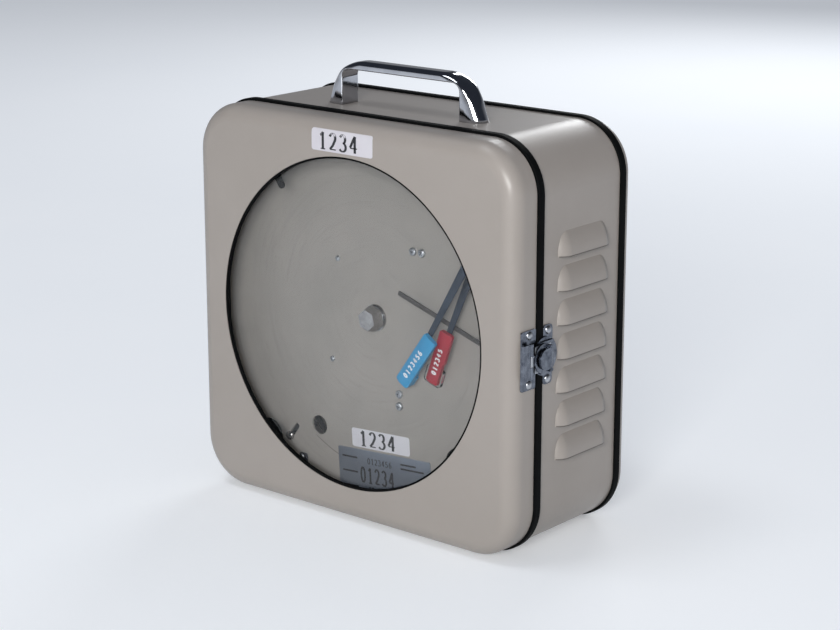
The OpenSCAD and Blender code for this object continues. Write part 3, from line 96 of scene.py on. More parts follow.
def blend_colours(tree, share, first, second, way="MIX"):
    """The colour between two others."""
    made = tree.nodes.new("ShaderNodeMix")
    made.data_type = "RGBA"
    made.blend_type = way
    join(tree, made.inputs[0], share)
    join(tree, made.inputs[6], first)
    join(tree, made.inputs[7], second)
    return made.outputs[2]


def reckon(tree, operation, first, second=0.0):
    """One step of arithmetic on two values."""
    made = place(tree, "Math", {"operation": operation})
    join(tree, made.inputs[0], first)
    join(tree, made.inputs[1], second)
    return made.outputs[0]


def spread(tree, value, low, high, to_low=0.0, to_high=1.0):
    """A value stretched from one range to another, and held there."""
    return place(tree, "MapRange", Value=value, From_Min=low, From_Max=high,
                 To_Min=to_low, To_Max=to_high).outputs[0]


def new_group(name, inputs, outputs):
    """An empty shader node group with named inputs and outputs."""
    tree = bpy.data.node_groups.new(name, "ShaderNodeTree")
    for label, kind, value in inputs:
        socket = tree.interface.new_socket(name=label, in_out="INPUT", socket_type="NodeSocket" + kind)
        socket.default_value = value
    for label, kind in outputs:
        tree.interface.new_socket(name=label, in_out="OUTPUT", socket_type="NodeSocket" + kind)
    return tree, tree.nodes.new("NodeGroupInput").outputs, tree.nodes.new("NodeGroupOutput").inputs


def use_group(tree, group, **inputs):
    """Places a shader node group in a material, with its own values."""
    made = tree.nodes.new("ShaderNodeGroup")
    made.node_tree = group
    for name, value in inputs.items():
        join(tree, made.inputs[name.replace("_", " ")], value)
    return made.outputs


def new_material(name, **plain):
    """A material with one Principled shader. Returns it, its tree and the shader's inputs."""
    made = bpy.data.materials.new(name)
    made.use_nodes = True
    shader = made.node_tree.nodes["Principled BSDF"].inputs
    for label, value in plain.items():
        shader[label.replace("_", " ")].default_value = value
    return made, made.node_tree, shader


def coat(names, material):
    """Gives a finish to CAD nodes."""
    for name in names:
        mesh = frame["nodes"][name].data
        for index in range(max(1, len(mesh.materials))):
            if index < len(mesh.materials):
                mesh.materials[index] = material
            else:
                mesh.materials.append(material)


# mottle: a colour that changes slowly into a second one, in soft patches
mottle, given, out = new_group(
    "mottle",
    [("Colour", "Color", (0.5, 0.5, 0.5, 1)), ("Second Colour", "Color", (0.4, 0.4, 0.4, 1)),
     ("Patches per Metre", "Float", 20.0), ("Share", "Float", 0.5)],
    [("Colour", "Color"), ("Mask", "Float")])
spot = place(mottle, "TexCoord").outputs["Object"]
cloud = place(mottle, "TexNoise", Vector=spot, Scale=given["Patches per Metre"],
              Detail=5.0, Roughness=0.6).outputs[0]
patch_from, patch_to = 0.35, 0.68
patches = spread(mottle, cloud, patch_from, patch_to)
mottle.links.new(blend_colours(mottle, reckon(mottle, "MULTIPLY", patches, given["Share"]),
                               given["Colour"], given["Second Colour"]), out["Colour"])
mottle.links.new(patches, out["Mask"])

# grain: the small unevenness of a surface, as a normal
grain, given, out = new_group(
    "grain",
    [("Bumps per Metre", "Float", 500.0), ("Height", "Float", 0.0001), ("Strength", "Float", 0.5)],
    [("Normal", "Vector")])
spot = place(grain, "TexCoord").outputs["Object"]
cloud = place(grain, "TexNoise", Vector=spot, Scale=given["Bumps per Metre"], Detail=2.0).outputs[0]
grain.links.new(place(grain, "Bump", Height=cloud, Distance=given["Height"],
                      Strength=given["Strength"]).outputs[0], out["Normal"])


def mottled(name, colour, second, patches, share, rough=None, bumps=None, **plain):
    """A material whose colour, and perhaps roughness, changes in soft patches. It may have grain."""
    made, tree, shader = new_material(name, **plain)
    shade = use_group(tree, mottle, Colour=tone(*colour), Second_Colour=tone(*second),
                      Patches_per_Metre=patches, Share=share)
    tree.links.new(shade["Colour"], shader["Base Color"])
    if rough:
        tree.links.new(spread(tree, shade["Mask"], 0, 1, *rough), shader["Roughness"])
    if bumps:
        per_metre, height, strength = bumps
        bumpy = use_group(tree, grain, Bumps_per_Metre=per_metre, Height=height, Strength=strength)
        tree.links.new(bumpy["Normal"], shader["Normal"])
    return made


floor_half = 9.0
floor_mesh = bpy.data.meshes.new("floor")
floor_mesh.from_pydata([(-floor_half, -floor_half, 0), (floor_half, -floor_half, 0),
                        (floor_half, floor_half, 0), (-floor_half, floor_half, 0)], [], [(0, 1, 2, 3)])
floor = bpy.data.objects.new("floor", floor_mesh)
scene.collection.objects.link(floor)
card = mottled("pale_card", (226, 228, 230), (221, 224, 227), 3.0, 0.6, bumps=(300.0, 0.00008, 0.05),
               Roughness=0.9, Specular_IOR_Level=0.05)


def looked_at(tree):
    """One for a ray from the camera, a mirror or a glass, and nought for any other."""
    rays = place(tree, "LightPath").outputs
    return reckon(tree, "MAXIMUM", rays["Is Camera Ray"],
                  reckon(tree, "MAXIMUM", rays["Is Glossy Ray"], rays["Is Transmission Ray"]))


floor_glow = 0.34
tree = card.node_tree
glow = place(tree, "Emission", Color=tone(228, 230, 233),
             Strength=reckon(tree, "MULTIPLY", looked_at(tree), floor_glow)).outputs[0]
both = place(tree, "AddShader")
tree.links.new(tree.nodes["Principled BSDF"].outputs[0], both.inputs[0])
tree.links.new(glow, both.inputs[1])
tree.links.new(both.outputs[0], tree.nodes["Material Output"].inputs["Surface"])
floor_mesh.materials.append(card)


# The light is a broad soft box low in front, weaker ones high above and behind,
# and an even room, which the metal and the window show as grey walls.
box_height_share = 0.8
recorder_middle = (0, 0.03, 0.12)
recorder_back = (0, 0.05, 0.12)


def soft_box(name, at, aim, width, watts, colour):
    """A lamp as wide as said and a little less high, turned to what it lights."""
    data = bpy.data.lights.new(name, "AREA")
    data.shape = "RECTANGLE"
    data.size = width
    data.size_y = width * box_height_share
    data.energy = watts
    data.color = colour
    lamp = bpy.data.objects.new(name, data)
    lamp.location = at
    lamp.rotation_mode = "QUATERNION"
    lamp.rotation_quaternion = (Vector(aim) - Vector(at)).to_track_quat("-Z", "Y")
    scene.collection.objects.link(lamp)


soft_box("front_box", (1.0, -1.55, 0.72), recorder_middle, 0.7, 27, (1.0, 0.985, 0.965))
soft_box("high_box", (-0.5, -0.6, 2.3), recorder_middle, 0.8, 9, (0.94, 0.97, 1.0))
soft_box("back_box", (-0.7, 1.9, 1.0), recorder_back, 0.8, 12, (0.97, 0.985, 1.0))

room = bpy.data.worlds.new("room")
scene.world = room
room.use_nodes = True
tree = room.node_tree
tree.nodes.clear()
look = place(tree, "TexCoord").outputs["Generated"]
height = place(tree, "SeparateXYZ", Vector=look).outputs["Z"]
wall_top = 0.35
sky_low, sky_high = 0.1, 0.9
room_strength = 0.42
walls = blend_colours(tree, spread(tree, height, 0.0, wall_top), tone(168, 170, 174), tone(46, 50, 58))
sky = blend_colours(tree, spread(tree, height, sky_low, sky_high), tone(235, 237, 240),
                    tone(170, 182, 204))
even = place(tree, "Background", Color=sky, Strength=room_strength).outputs[0]
shown = place(tree, "Background", Color=walls, Strength=1.0).outputs[0]
mixed = place(tree, "MixShader")
tree.links.new(looked_at(tree), mixed.inputs[0])
tree.links.new(even, mixed.inputs[1])
tree.links.new(shown, mixed.inputs[2])
tree.links.new(mixed.outputs[0], place(tree, "OutputWorld").inputs["Surface"])


# The case body is a deep ring of pressed sheet steel with louvres on both its sides,
# sprayed putty with a semi-gloss paint that dries with a faint orange peel. A thin dark
# line of painted shadow runs along the lower edge of each louvre, where its lip shades the side.
putty = tone(160, 153, 147)
putty_dull = tone(152, 145, 138)
putty_paint, tree, shader = new_material("putty_paint", Specular_IOR_Level=0.5, Coat_Weight=0.15,
                                         Coat_Roughness=0.25)
shade = use_group(tree, mottle, Colour=putty, Second_Colour=putty_dull, Patches_per_Metre=14.0, Share=0.5)
lowest_edge = 0.05525
louvre_pitch = 0.01955
lip_shadow_height = 0.0006
lip_shadow_faded = lip_shadow_height * 1.8
side_reach = 0.1208
side_fade = 0.0004
lip_shadow_tone = tone(66, 60, 56)
lip_shadow_share = 0.85
spot = place(tree, "SeparateXYZ", Vector=place(tree, "TexCoord").outputs["Object"]).outputs
up = reckon(tree, "FLOORED_MODULO", reckon(tree, "SUBTRACT", spot["Z"], lowest_edge - lip_shadow_height / 2),
            louvre_pitch)
# painted shadow: a thin dark band at the foot of each louvre's lip, fading out where the louvre meets the
# side
lip_shadow = reckon(tree, "MULTIPLY",
                 spread(tree, up, lip_shadow_height, lip_shadow_faded, 1, 0),
                 spread(tree, reckon(tree, "ABSOLUTE", spot["X"]), side_reach, side_reach + side_fade))
lip_shadowed = blend_colours(tree, reckon(tree, "MULTIPLY", lip_shadow, lip_shadow_share), shade["Colour"], lip_shadow_tone)
tree.links.new(lip_shadowed, shader["Base Color"])
tree.links.new(spread(tree, shade["Mask"], 0, 1, 0.36, 0.44), shader["Roughness"])
tree.links.new(use_group(tree, grain, Bumps_per_Metre=420.0, Height=0.00012, Strength=0.35)["Normal"],
               shader["Normal"])
coat(["case_body"], putty_paint)


# The two trims are extruded black rubber channels with rounded lips. They are
# cut to length and pressed on the front and rear edges of the case.
rubber = mottled("black_rubber", (11, 12, 13), (18, 19, 20), 60.0, 0.6, bumps=(1600.0, 0.00005, 0.4),
                 Roughness=0.6, Specular_IOR_Level=0.04)

node_body = {node: body for body, nodes in frame["record"]["behaviour"]["bodies"].items()
             for node in nodes}
node_slot = {part["node"]: part["material_slot"] for part in frame["record"]["subparts"]}

same_point = 0.000002


def merged(node):
    """A copy of a CAD node as one closed skin."""
    shape = bmesh.new()
    shape.from_mesh(frame["nodes"][node].data)
    bmesh.ops.remove_doubles(shape, verts=shape.verts, dist=same_point)
    return shape


def finished(name, mesh, material, body, slot, *nodes):
    """A finished piece, which rides on a body and may stand for CAD nodes."""
    made = bpy.data.objects.new(name, mesh)
    mesh.name = name
    scene.collection.objects.link(made)
    mesh.materials.clear()
    mesh.materials.append(material)
    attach(made, body)
    if nodes:
        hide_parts(*nodes)
    return made


def level(mesh):
    """Smooth shading that keeps wide faces flat between their rounded edges."""
    lean = [Vector() for _ in mesh.vertices]
    for face in mesh.polygons:
        face.use_smooth = True
        for index in face.vertices:
            lean[index] += face.normal * face.area
    mesh.normals_split_custom_set_from_vertices([v.normalized() for v in lean])


def rounded(node, material, width, steps=3, sharp=28):
    """The CAD node with its sharp edges rounded, in its finish, in the node's place."""
    shape = merged(node)
    edges = [edge for edge in shape.edges
             if len(edge.link_faces) == 2 and edge.calc_face_angle() > math.radians(sharp)]
    bmesh.ops.bevel(shape, geom=edges, offset=width, segments=steps, profile=0.5,
                    affect="EDGES", clamp_overlap=True)
    mesh = bpy.data.meshes.new(node)
    shape.to_mesh(mesh)
    shape.free()
    level(mesh)
    return finished(node + "_rounded", mesh, material, node_body[node], node_slot[node], node)


trim_lip = 0.0005
for trim in ("front_trim", "rear_trim"):
    rounded(trim, rubber, trim_lip)


# The rear cover is a shallow pan, pressed from the same sheet steel as the case and
# sprayed with the same paint. It is held by screws in its corners.
coat(["rear_cover"], putty_paint)


# The brackets, hinge leaves and hidden plates are zinc-plated sheet steel,
# cut and folded, and held by screws with cross heads.
zinc = mottled("zinc_plate", (182, 185, 190), (142, 146, 154), 140.0, 0.7, bumps=(900.0, 0.00004, 0.4),
               Metallic=1.0, Roughness=0.34)
coat(["hinge_body_leaves", "hinge_door_leaves", "latch_axle", "link_pin", "sensor_plate",
      "element_mounts", "arm_rod", "clock_motor", "handle_screws"], zinc)
plate_edge = 0.00015
for plate in ("case_brackets", "lifter_bracket", "latch_carriage", "clamp_washer"):
    rounded(plate, zinc, plate_edge)


def turned(rings):
    """A closed skin over rings of as many points each, the first at the bottom."""
    shape = bmesh.new()
    laid = [[shape.verts.new(point) for point in ring] for ring in rings]
    for lower, upper in zip(laid, laid[1:]):
        for k in range(len(lower)):
            n = (k + 1) % len(lower)
            shape.faces.new((lower[k], lower[n], upper[n], upper[k]))
    shape.faces.new(laid[0][::-1])
    shape.faces.new(laid[-1])
    return shape


def fastener(name, rings, sharp=35):
    """A screw or rivet with a head one wide and its top at the origin, as the pattern for the tree."""
    mesh = bpy.data.meshes.new(name)
    shape = turned(rings)
    shape.to_mesh(mesh)
    shape.free()
    mesh.shade_smooth()
    mesh.set_sharp_from_angle(angle=math.radians(sharp))
    return bpy.data.objects.new(name, mesh)


def ring(radii, height):
    """Points round a fastener's axis at one height, one for each of the turns."""
    return [(r * math.cos(t), r * math.sin(t), height) for t, r in zip(turns, radii)]


# the cross in a screw's head, by the turn and the reach of its points
slot_reach, slot_half = 0.29, 0.062
slot_turn = math.atan2(slot_half, slot_reach)
side_turn = 0.5
quarter = [(-slot_turn, math.hypot(slot_reach, slot_half)), (0, slot_reach),
           (slot_turn, math.hypot(slot_reach, slot_half)), (side_turn, slot_half / math.sin(side_turn)),
           (math.pi / 4, slot_half * math.sqrt(2)),
           (math.pi / 2 - side_turn, slot_half / math.sin(side_turn))]
turns = [t + q * math.pi / 2 for q in range(4) for t, _ in quarter]
cross = [r for _ in range(4) for _, r in quarter]
slot_top, slot_floor, slot_taper = -0.015, -0.2, 0.72

# a screw and a rivet from shank to head, by the radius and the height of their rings
screw_profile = [(0.28, -1.3), (0.28, -0.36), (0.47, -0.36), (0.5, -0.33), (0.5, -0.2), (0.47, -0.12),
                 (0.42, -0.06), (0.36, -0.03)]
rivet_profile = [(0.3, -0.8), (0.3, -0.34), (0.48, -0.34), (0.5, -0.31), (0.47, -0.2), (0.4, -0.11),
                 (0.3, -0.05), (0.16, -0.012)]
screw = fastener("cross_head_screw",
                 [ring([radius] * len(turns), height) for radius, height in screw_profile]
                 + [ring(cross, slot_top), ring([r * slot_taper for r in cross], slot_floor)])
rivet = fastener("dome_rivet", [ring([radius] * len(turns), height) for radius, height in rivet_profile])

# the tree puts a fastener on each point, as wide as its head and at a chance turn
fasten_tree = bpy.data.node_groups.new("fasteners", "GeometryNodeTree")
for label, way, kind in (("Points", "INPUT", "Geometry"), ("Fastener", "INPUT", "Object"),
                         ("Turn", "INPUT", "Float"), ("Seed", "INPUT", "Int"),
                         ("Finish", "INPUT", "Material"), ("Fasteners", "OUTPUT", "Geometry")):
    fasten_tree.interface.new_socket(name=label, in_out=way, socket_type="NodeSocket" + kind)
links = fasten_tree.links
entry = fasten_tree.nodes.new("NodeGroupInput").outputs
pattern = fasten_tree.nodes.new("GeometryNodeObjectInfo")
links.new(entry["Fastener"], pattern.inputs["Object"])
outward = fasten_tree.nodes.new("GeometryNodeInputNamedAttribute")
outward.data_type = "FLOAT_VECTOR"
outward.inputs["Name"].default_value = "outward"
width = fasten_tree.nodes.new("GeometryNodeInputNamedAttribute")
width.data_type = "FLOAT"
width.inputs["Name"].default_value = "head_width"
aligned = fasten_tree.nodes.new("FunctionNodeAlignRotationToVector")
aligned.axis = "Z"
links.new(outward.outputs["Attribute"], aligned.inputs["Vector"])
chance = fasten_tree.nodes.new("FunctionNodeRandomValue")
chance.data_type = "FLOAT"
links.new(entry["Turn"], [i for i in chance.inputs if i.name == "Max" and i.type == "VALUE"][0])
links.new(entry["Seed"], chance.inputs["Seed"])
spin = fasten_tree.nodes.new("FunctionNodeAxisAngleToRotation")
spin.inputs["Axis"].default_value = (0, 0, 1)
links.new([o for o in chance.outputs if o.type == "VALUE"][0], spin.inputs["Angle"])
spun = fasten_tree.nodes.new("FunctionNodeRotateRotation")
spun.rotation_space = "LOCAL"
links.new(aligned.outputs["Rotation"], spun.inputs["Rotation"])
links.new(spin.outputs["Rotation"], spun.inputs["Rotate By"])
instances = fasten_tree.nodes.new("GeometryNodeInstanceOnPoints")
links.new(entry["Points"], instances.inputs["Points"])
links.new(pattern.outputs["Geometry"], instances.inputs["Instance"])
links.new(spun.outputs["Rotation"], instances.inputs["Rotation"])
links.new(width.outputs["Attribute"], instances.inputs["Scale"])
real = fasten_tree.nodes.new("GeometryNodeRealizeInstances")
links.new(instances.outputs["Instances"], real.inputs["Geometry"])
dressed = fasten_tree.nodes.new("GeometryNodeSetMaterial")
links.new(real.outputs["Geometry"], dressed.inputs["Geometry"])
links.new(entry["Finish"], dressed.inputs["Material"])
links.new(dressed.outputs["Geometry"], fasten_tree.nodes.new("NodeGroupOutput").inputs["Fasteners"])


def lumps(node):
    """The lowest and the highest corner of each separate lump of a CAD node."""
    shape = merged(node)
    left = set(shape.verts)
    boxes = []
    while left:
        group = [left.pop()]
        for vert in group:
            for edge in vert.link_edges:
                other = edge.other_vert(vert)
                if other in left:
                    left.discard(other)
                    group.append(other)
        boxes.append((Vector([min(v.co[i] for v in group) for i in range(3)]),
                      Vector([max(v.co[i] for v in group) for i in range(3)])))
    shape.free()
    return sorted(boxes, key=lambda box: tuple(round(v, 5) for v in box[0]))


def fasten(node, kind, axis, material, seed, middle=0.0):
    """A screw or rivet on each lump of a CAD node, its head away from the middle along the axis."""
    points = bpy.data.meshes.new(node)
    heads, outs, widths = [], [], []
    for low, high in lumps(node):
        head = (low + high) / 2
        out = Vector((0, 0, 0))
        out[axis] = 1 if head[axis] > middle else -1
        head[axis] = high[axis] if out[axis] > 0 else low[axis]
        heads.append(head)
        outs.extend(out)
        widths.append((high - low)[2])
    points.from_pydata(heads, [], [])
    points.attributes.new("outward", "FLOAT_VECTOR", "POINT").data.foreach_set("vector", outs)
    points.attributes.new("head_width", "FLOAT", "POINT").data.foreach_set("value", widths)
    carrier = bpy.data.objects.new(node + "_points", points)
    scene.collection.objects.link(carrier)
    modifier = carrier.modifiers.new("fasteners", "NODES")
    modifier.node_group = fasten_tree
    given = {item.name: item.identifier for item in fasten_tree.interface.items_tree
             if item.in_out == "INPUT"}
    modifier[given["Fastener"]] = kind
    modifier[given["Turn"]] = math.pi / 2
    modifier[given["Seed"]] = seed
    modifier[given["Finish"]] = material
    carrier.update_tag()
    bpy.context.view_layer.update()
    graph = bpy.context.evaluated_depsgraph_get()
    mesh = bpy.data.meshes.new_from_object(carrier.evaluated_get(graph), depsgraph=graph)
    bpy.data.objects.remove(carrier)
    return finished(node + "_set", mesh, material, node_body[node], node_slot[node], node)


case_middle = 0.04
fasten("case_screws", screw, 1, zinc, 3, middle=case_middle)
fasten("body_rivets", rivet, 0, zinc, 5)
fasten("door_rivets", rivet, 0, zinc, 7)


# The handle is a heavy zinc casting, ground on its faces and chromed, and held by
# two screws from inside the case. Its legs are nearly half round on their outer
# sides, and its grip is flatter.
chrome = mottled("chrome", (206, 208, 213), (176, 179, 187), 90.0, 0.6, bumps=(260.0, 0.00004, 0.25),
                 Metallic=1.0, Roughness=0.08)
handle_low, handle_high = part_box("handle")
handle_middle = [(handle_low[i] + handle_high[i]) / 2 for i in range(3)]
foot_end = (handle_high[0] - handle_low[0]) / 2
foot_start = 0.044
grip_thick = 0.005
grip_top = handle_high[2] - handle_low[2]
grip_under = grip_top - grip_thick
outer_bend = 0.0264
inner_bend = 0.005
leg_lean = math.radians(22)
half_depth = (handle_high[1] - handle_low[1]) / 2
inner_edge = 0.0008
flat_least = 0.0002
foot_across, leg_across, grip_across = 0.0105, 0.0075, 0.0022
leg_around, grip_around = 0.0068, 0.0052
leg_steps, bend_steps, inner_steps, outer_steps = 6, 16, 3, 10
screw_place = 0.0485
screw_hole = 0.00262
screw_depth = 0.009
bend_height = grip_top - outer_bend * (1 - math.sin(leg_lean))
bend_centre = (foot_end - bend_height * math.tan(leg_lean) - outer_bend * math.cos(leg_lean),
               grip_top - outer_bend)
upright = grip_under - inner_bend - bend_height
inner_reach = foot_start - inner_bend - bend_centre[0] + inner_bend * math.pi / 2 + upright


def inner_point(reach):
    """A point on the handle's inner side, by its distance along that side from the bend's start."""
    if reach < upright:
        return foot_start, bend_height + reach
    turn = (reach - upright) / inner_bend
    if turn < math.pi / 2:
        return (foot_start - inner_bend * (1 - math.cos(turn)),
                grip_under - inner_bend * (1 - math.sin(turn)))
    return foot_start - inner_bend - (turn - math.pi / 2) * inner_bend, grip_under


def handle_ring(outer, inner, side, across, around):
    """The handle's section between two points of its outline, with an oval rounding outside."""
    run = Vector(outer) - Vector(inner)
    thick = run.length
    across = min(across, thick - inner_edge - flat_least)
    front = [(inner_edge * (1 - math.cos(a)), half_depth - inner_edge * (1 - math.sin(a)))
             for a in [math.pi / 2 * k / inner_steps for k in range(inner_steps + 1)]]
    front += [(thick - across * (1 - math.sin(a)), half_depth - around * (1 - math.cos(a)))
              for a in [math.pi / 2 * k / outer_steps for k in range(outer_steps + 1)]]
    section = [(t, -w) for t, w in front] + [(t, w) for t, w in reversed(front)]
    points = []
    for along, wide in section:
        x, z = Vector(inner) + run * (along / thick)
        points.append(Vector((handle_middle[0] + side * x, handle_middle[1] + wide, handle_low[2] + z)))
    return points


half_rings = []
for k in range(leg_steps + 1):
    share = k / leg_steps
    z = bend_height * share
    half_rings.append(((foot_end - z * math.tan(leg_lean), z), (foot_start, z),
                       foot_across + (leg_across - foot_across) * share, leg_around))
for k in range(1, bend_steps + 1):
    share = k / bend_steps
    turn = leg_lean + (math.pi / 2 - leg_lean) * share
    outer = (bend_centre[0] + outer_bend * math.cos(turn), bend_centre[1] + outer_bend * math.sin(turn))
    half_rings.append((outer, inner_point(inner_reach * share),
                       leg_across + (grip_across - leg_across) * share,
                       leg_around + (grip_around - leg_around) * share))
legs = []
for side in (1, -1):
    rings = [handle_ring(outer, inner, side, across, around)
             for outer, inner, across, around in half_rings]
    centre = Vector((handle_middle[0] + side * screw_place, handle_middle[1], handle_low[2]))
    rim = [centre + (point - centre).normalized() * screw_hole for point in rings[0]]
    legs.append([[point + Vector((0, 0, screw_depth)) for point in rim], rim] + rings)
cast = turned(legs[0] + legs[1][::-1])
bmesh.ops.recalc_face_normals(cast, faces=cast.faces)
handle_mesh = bpy.data.meshes.new("handle")
cast.to_mesh(handle_mesh)
cast.free()
level(handle_mesh)
finished("handle_casting", handle_mesh, chrome, node_body["handle"], node_slot["handle"], "handle")
coat(["hinge_pins"], chrome)


# The latch is pressed and folded from steel strip, plated, and worn a little dull.
# Its keeper, link, base, disc and wing have rounded edges from the press.
latch_plate = mottled("latch_plate", (128, 133, 143), (62, 68, 80), 220.0, 0.8, rough=(0.16, 0.32),
                      bumps=(700.0, 0.00006, 0.4), Metallic=1.0)
for part, width in (("latch_base", 0.0002), ("latch_disc", 0.0002), ("latch_wing", 0.00025),
                    ("latch_link", 0.00018), ("latch_keeper", 0.00025)):
    rounded(part, latch_plate, width)


# The chart panel is a steel plate in a matt grey paint. Years of charts have left
# faint rings round the hub, soft stains, and one thin scratch beside the label.
rings_per_metre, rings_per_turn = 420.0, 1.3
ring_from, ring_to, ring_share = 0.52, 0.74, 0.35
scratch_reach, scratch_bearing = 0.0957, -1.92
scratch_width, scratch_faded = 0.00014, 0.0004
scratch_half_turn, scratch_ended, scratch_share = 0.17, 0.2, 0.75
panel_paint, tree, shader = new_material("panel_paint", Roughness=0.5)
spot = place(tree, "TexCoord").outputs["Object"]
hub_low, hub_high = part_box("chart_hub")
hub_centre = (Vector(hub_low) + Vector(hub_high)) / 2
from_hub = place(tree, "Mapping", {"vector_type": "POINT"}, Vector=spot,
                 Location=(-hub_centre[0], 0, -hub_centre[2])).outputs[0]
parts = place(tree, "SeparateXYZ", Vector=from_hub).outputs
reach = reckon(tree, "SQRT", reckon(tree, "ADD", reckon(tree, "MULTIPLY", parts["X"], parts["X"]),
                                    reckon(tree, "MULTIPLY", parts["Z"], parts["Z"])))
bearing = reckon(tree, "ARCTAN2", parts["Z"], parts["X"])
polar = place(tree, "CombineXYZ", X=reckon(tree, "MULTIPLY", reach, rings_per_metre),
              Y=reckon(tree, "MULTIPLY", bearing, rings_per_turn)).outputs[0]
cloud = place(tree, "TexNoise", Vector=polar, Scale=1.0, Detail=3.0, Roughness=0.65).outputs[0]
rings = spread(tree, cloud, ring_from, ring_to)
shade = use_group(tree, mottle, Colour=tone(154, 148, 143), Second_Colour=tone(141, 137, 132),
                  Patches_per_Metre=17.0, Share=0.85)
worn = blend_colours(tree, reckon(tree, "MULTIPLY", rings, ring_share), shade["Colour"],
                     tone(124, 121, 118))
off_reach = reckon(tree, "ABSOLUTE", reckon(tree, "SUBTRACT", reach, scratch_reach))
off_bearing = reckon(tree, "ABSOLUTE", reckon(tree, "SUBTRACT", bearing, scratch_bearing))
scratch = reckon(tree, "MULTIPLY", spread(tree, off_reach, scratch_width, scratch_faded, 1, 0),
                 spread(tree, off_bearing, scratch_half_turn, scratch_ended, 1, 0))
marked = blend_colours(tree, reckon(tree, "MULTIPLY", scratch, scratch_share), worn, tone(84, 80, 76))
tree.links.new(marked, shader["Base Color"])
tree.links.new(use_group(tree, grain, Bumps_per_Metre=500.0, Height=0.00003, Strength=0.12)["Normal"],
               shader["Normal"])
coat(["chart_panel"], panel_paint)
fasten("clock_screws", screw, 1, zinc, 11, middle=case_middle)


# The clock frame is cut from brass plate, the gears and bushes are turned and cut
# from brass rod, and the arms' tube is drawn brass. They are screwed and pressed together.
brass = mottled("brass", (206, 172, 98), (160, 124, 62), 120.0, 0.6, Metallic=1.0, Roughness=0.3)
coat(["clock_frame", "motor_pinion", "chart_gear", "shaft_bushes", "arm_tube"], brass)


# The battery holder, the switch body and the low tab are moulded in dark plastic
# with a dull sheen, and held behind and on the panel.
dark_plastic = mottled("dark_plastic", (52, 54, 60), (40, 42, 48), 80.0, 0.7, Roughness=0.42)
coat(["battery_holder", "switch_body", "panel_tab"], dark_plastic)


# The battery is a round dry cell in a painted steel jacket. It lies in its holder
# behind the panel and drives the chart's clock.
jacket = mottled("battery_jacket", (60, 84, 120), (48, 68, 100), 50.0, 0.6, Roughness=0.3, Metallic=0.3)
coat(["battery"], jacket)


# The bimetal coil is wound from strip and turns its arm as it warms. The humidity
# element is a stretched film that grows in damp air. Both stand behind the panel.
bimetal = mottled("bimetal", (190, 180, 160), (150, 138, 116), 90.0, 0.6, Metallic=1.0, Roughness=0.36)
coat(["bimetal_coil"], bimetal)
film = mottled("element_film", (214, 204, 176), (196, 184, 150), 60.0, 0.6, Roughness=0.3)
coat(["humidity_element"], film)


# The chart hub and its clamp knob are turned from brass and chromed. The knob is
# a hexagon with a chamfered top, screwed down on the chart by hand. The switch stud
# on the panel has the same finish.
knob_chrome = mottled("knob_chrome", (172, 170, 170), (112, 112, 115), 160.0, 0.6, Metallic=1.0,
                      Roughness=0.12)
turned_edge = 0.0002
knob_edge = 0.0006
rounded("chart_hub", knob_chrome, turned_edge)
rounded("clamp_knob", knob_chrome, knob_edge, 4, sharp=20)
rounded("switch_stud", knob_chrome, turned_edge)


# The arms are thin tapered strips of blued steel, sheared and hung on pins. The
# lifter bar under them is a plain steel strip, bent at its bracket.
blued = mottled("blued_strip", (50, 62, 78), (36, 46, 60), 70.0, 0.7, Metallic=0.7, Roughness=0.38)
arm_edge = 0.00012
for strip in ("front_arm", "rear_arm"):
    rounded(strip, blued, arm_edge, 2)
bar_steel = mottled("bar_steel", (82, 79, 78), (62, 60, 60), 70.0, 0.7, Metallic=0.6, Roughness=0.42)
rounded("pen_lifter", bar_steel, plate_edge, 2)


# The pens are moulded plastic cartridges with a soft sheen, pushed on the arms' ends
# and printed in white with plain figures.
cyan = mottled("blue_plastic", (40, 142, 190), (28, 120, 168), 90.0, 0.6, Roughness=0.35)
crimson = mottled("red_plastic", (158, 12, 38), (126, 8, 30), 90.0, 0.6, Roughness=0.35)
pen_edge, nib_edge = 0.0004, 0.0001
for colour, plastic in (("blue", cyan), ("red", crimson)):
    rounded(colour + "_pen", plastic, pen_edge)
    rounded(colour + "_nib", plastic, nib_edge)
white_ink = mottled("white_ink", (232, 232, 234), (206, 206, 210), 900.0, 0.5, Roughness=0.5)


def bow(x, z, half_width, half_height, start, end, steps=14):
    """Points on part of an ellipse, with its angles in degrees."""
    return [(x + half_width * math.cos(math.radians(start + (end - start) * k / steps)),
             z + half_height * math.sin(math.radians(start + (end - start) * k / steps)))
            for k in range(steps + 1)]


figures = {
    "0": [bow(0.3, 0.5, 0.22, 0.48, 0, 360, 24)],
    "1": [[(0.12, 0.8), (0.24, 0.88), (0.32, 0.99)], [(0.32, 0.99), (0.32, 0.02)],
          [(0.15, 0.02), (0.5, 0.02)]],
    "2": [bow(0.29, 0.72, 0.21, 0.26, 165, -25) + [(0.3, 0.28), (0.08, 0.05)],
          [(0.07, 0.05), (0.54, 0.05)]],
    "3": [bow(0.27, 0.74, 0.2, 0.24, 155, -85), bow(0.26, 0.27, 0.25, 0.25, 85, -150)],
    "4": [[(0.4, 0.99), (0.05, 0.32)], [(0.05, 0.3), (0.58, 0.3)], [(0.41, 0.99), (0.41, 0.02)]],
    "5": [[(0.52, 0.95), (0.17, 0.95)], [(0.17, 0.97), (0.12, 0.56)],
          bow(0.26, 0.31, 0.25, 0.29, 125, -150)],
    "6": [bow(0.5, 0.42, 0.42, 0.56, 90, 178), bow(0.3, 0.29, 0.22, 0.27, 0, 360, 20)],
}
stroke_step = 0.0008
ink_depth = Vector((0, 0.00004, 0))
ink_height = 0.00001


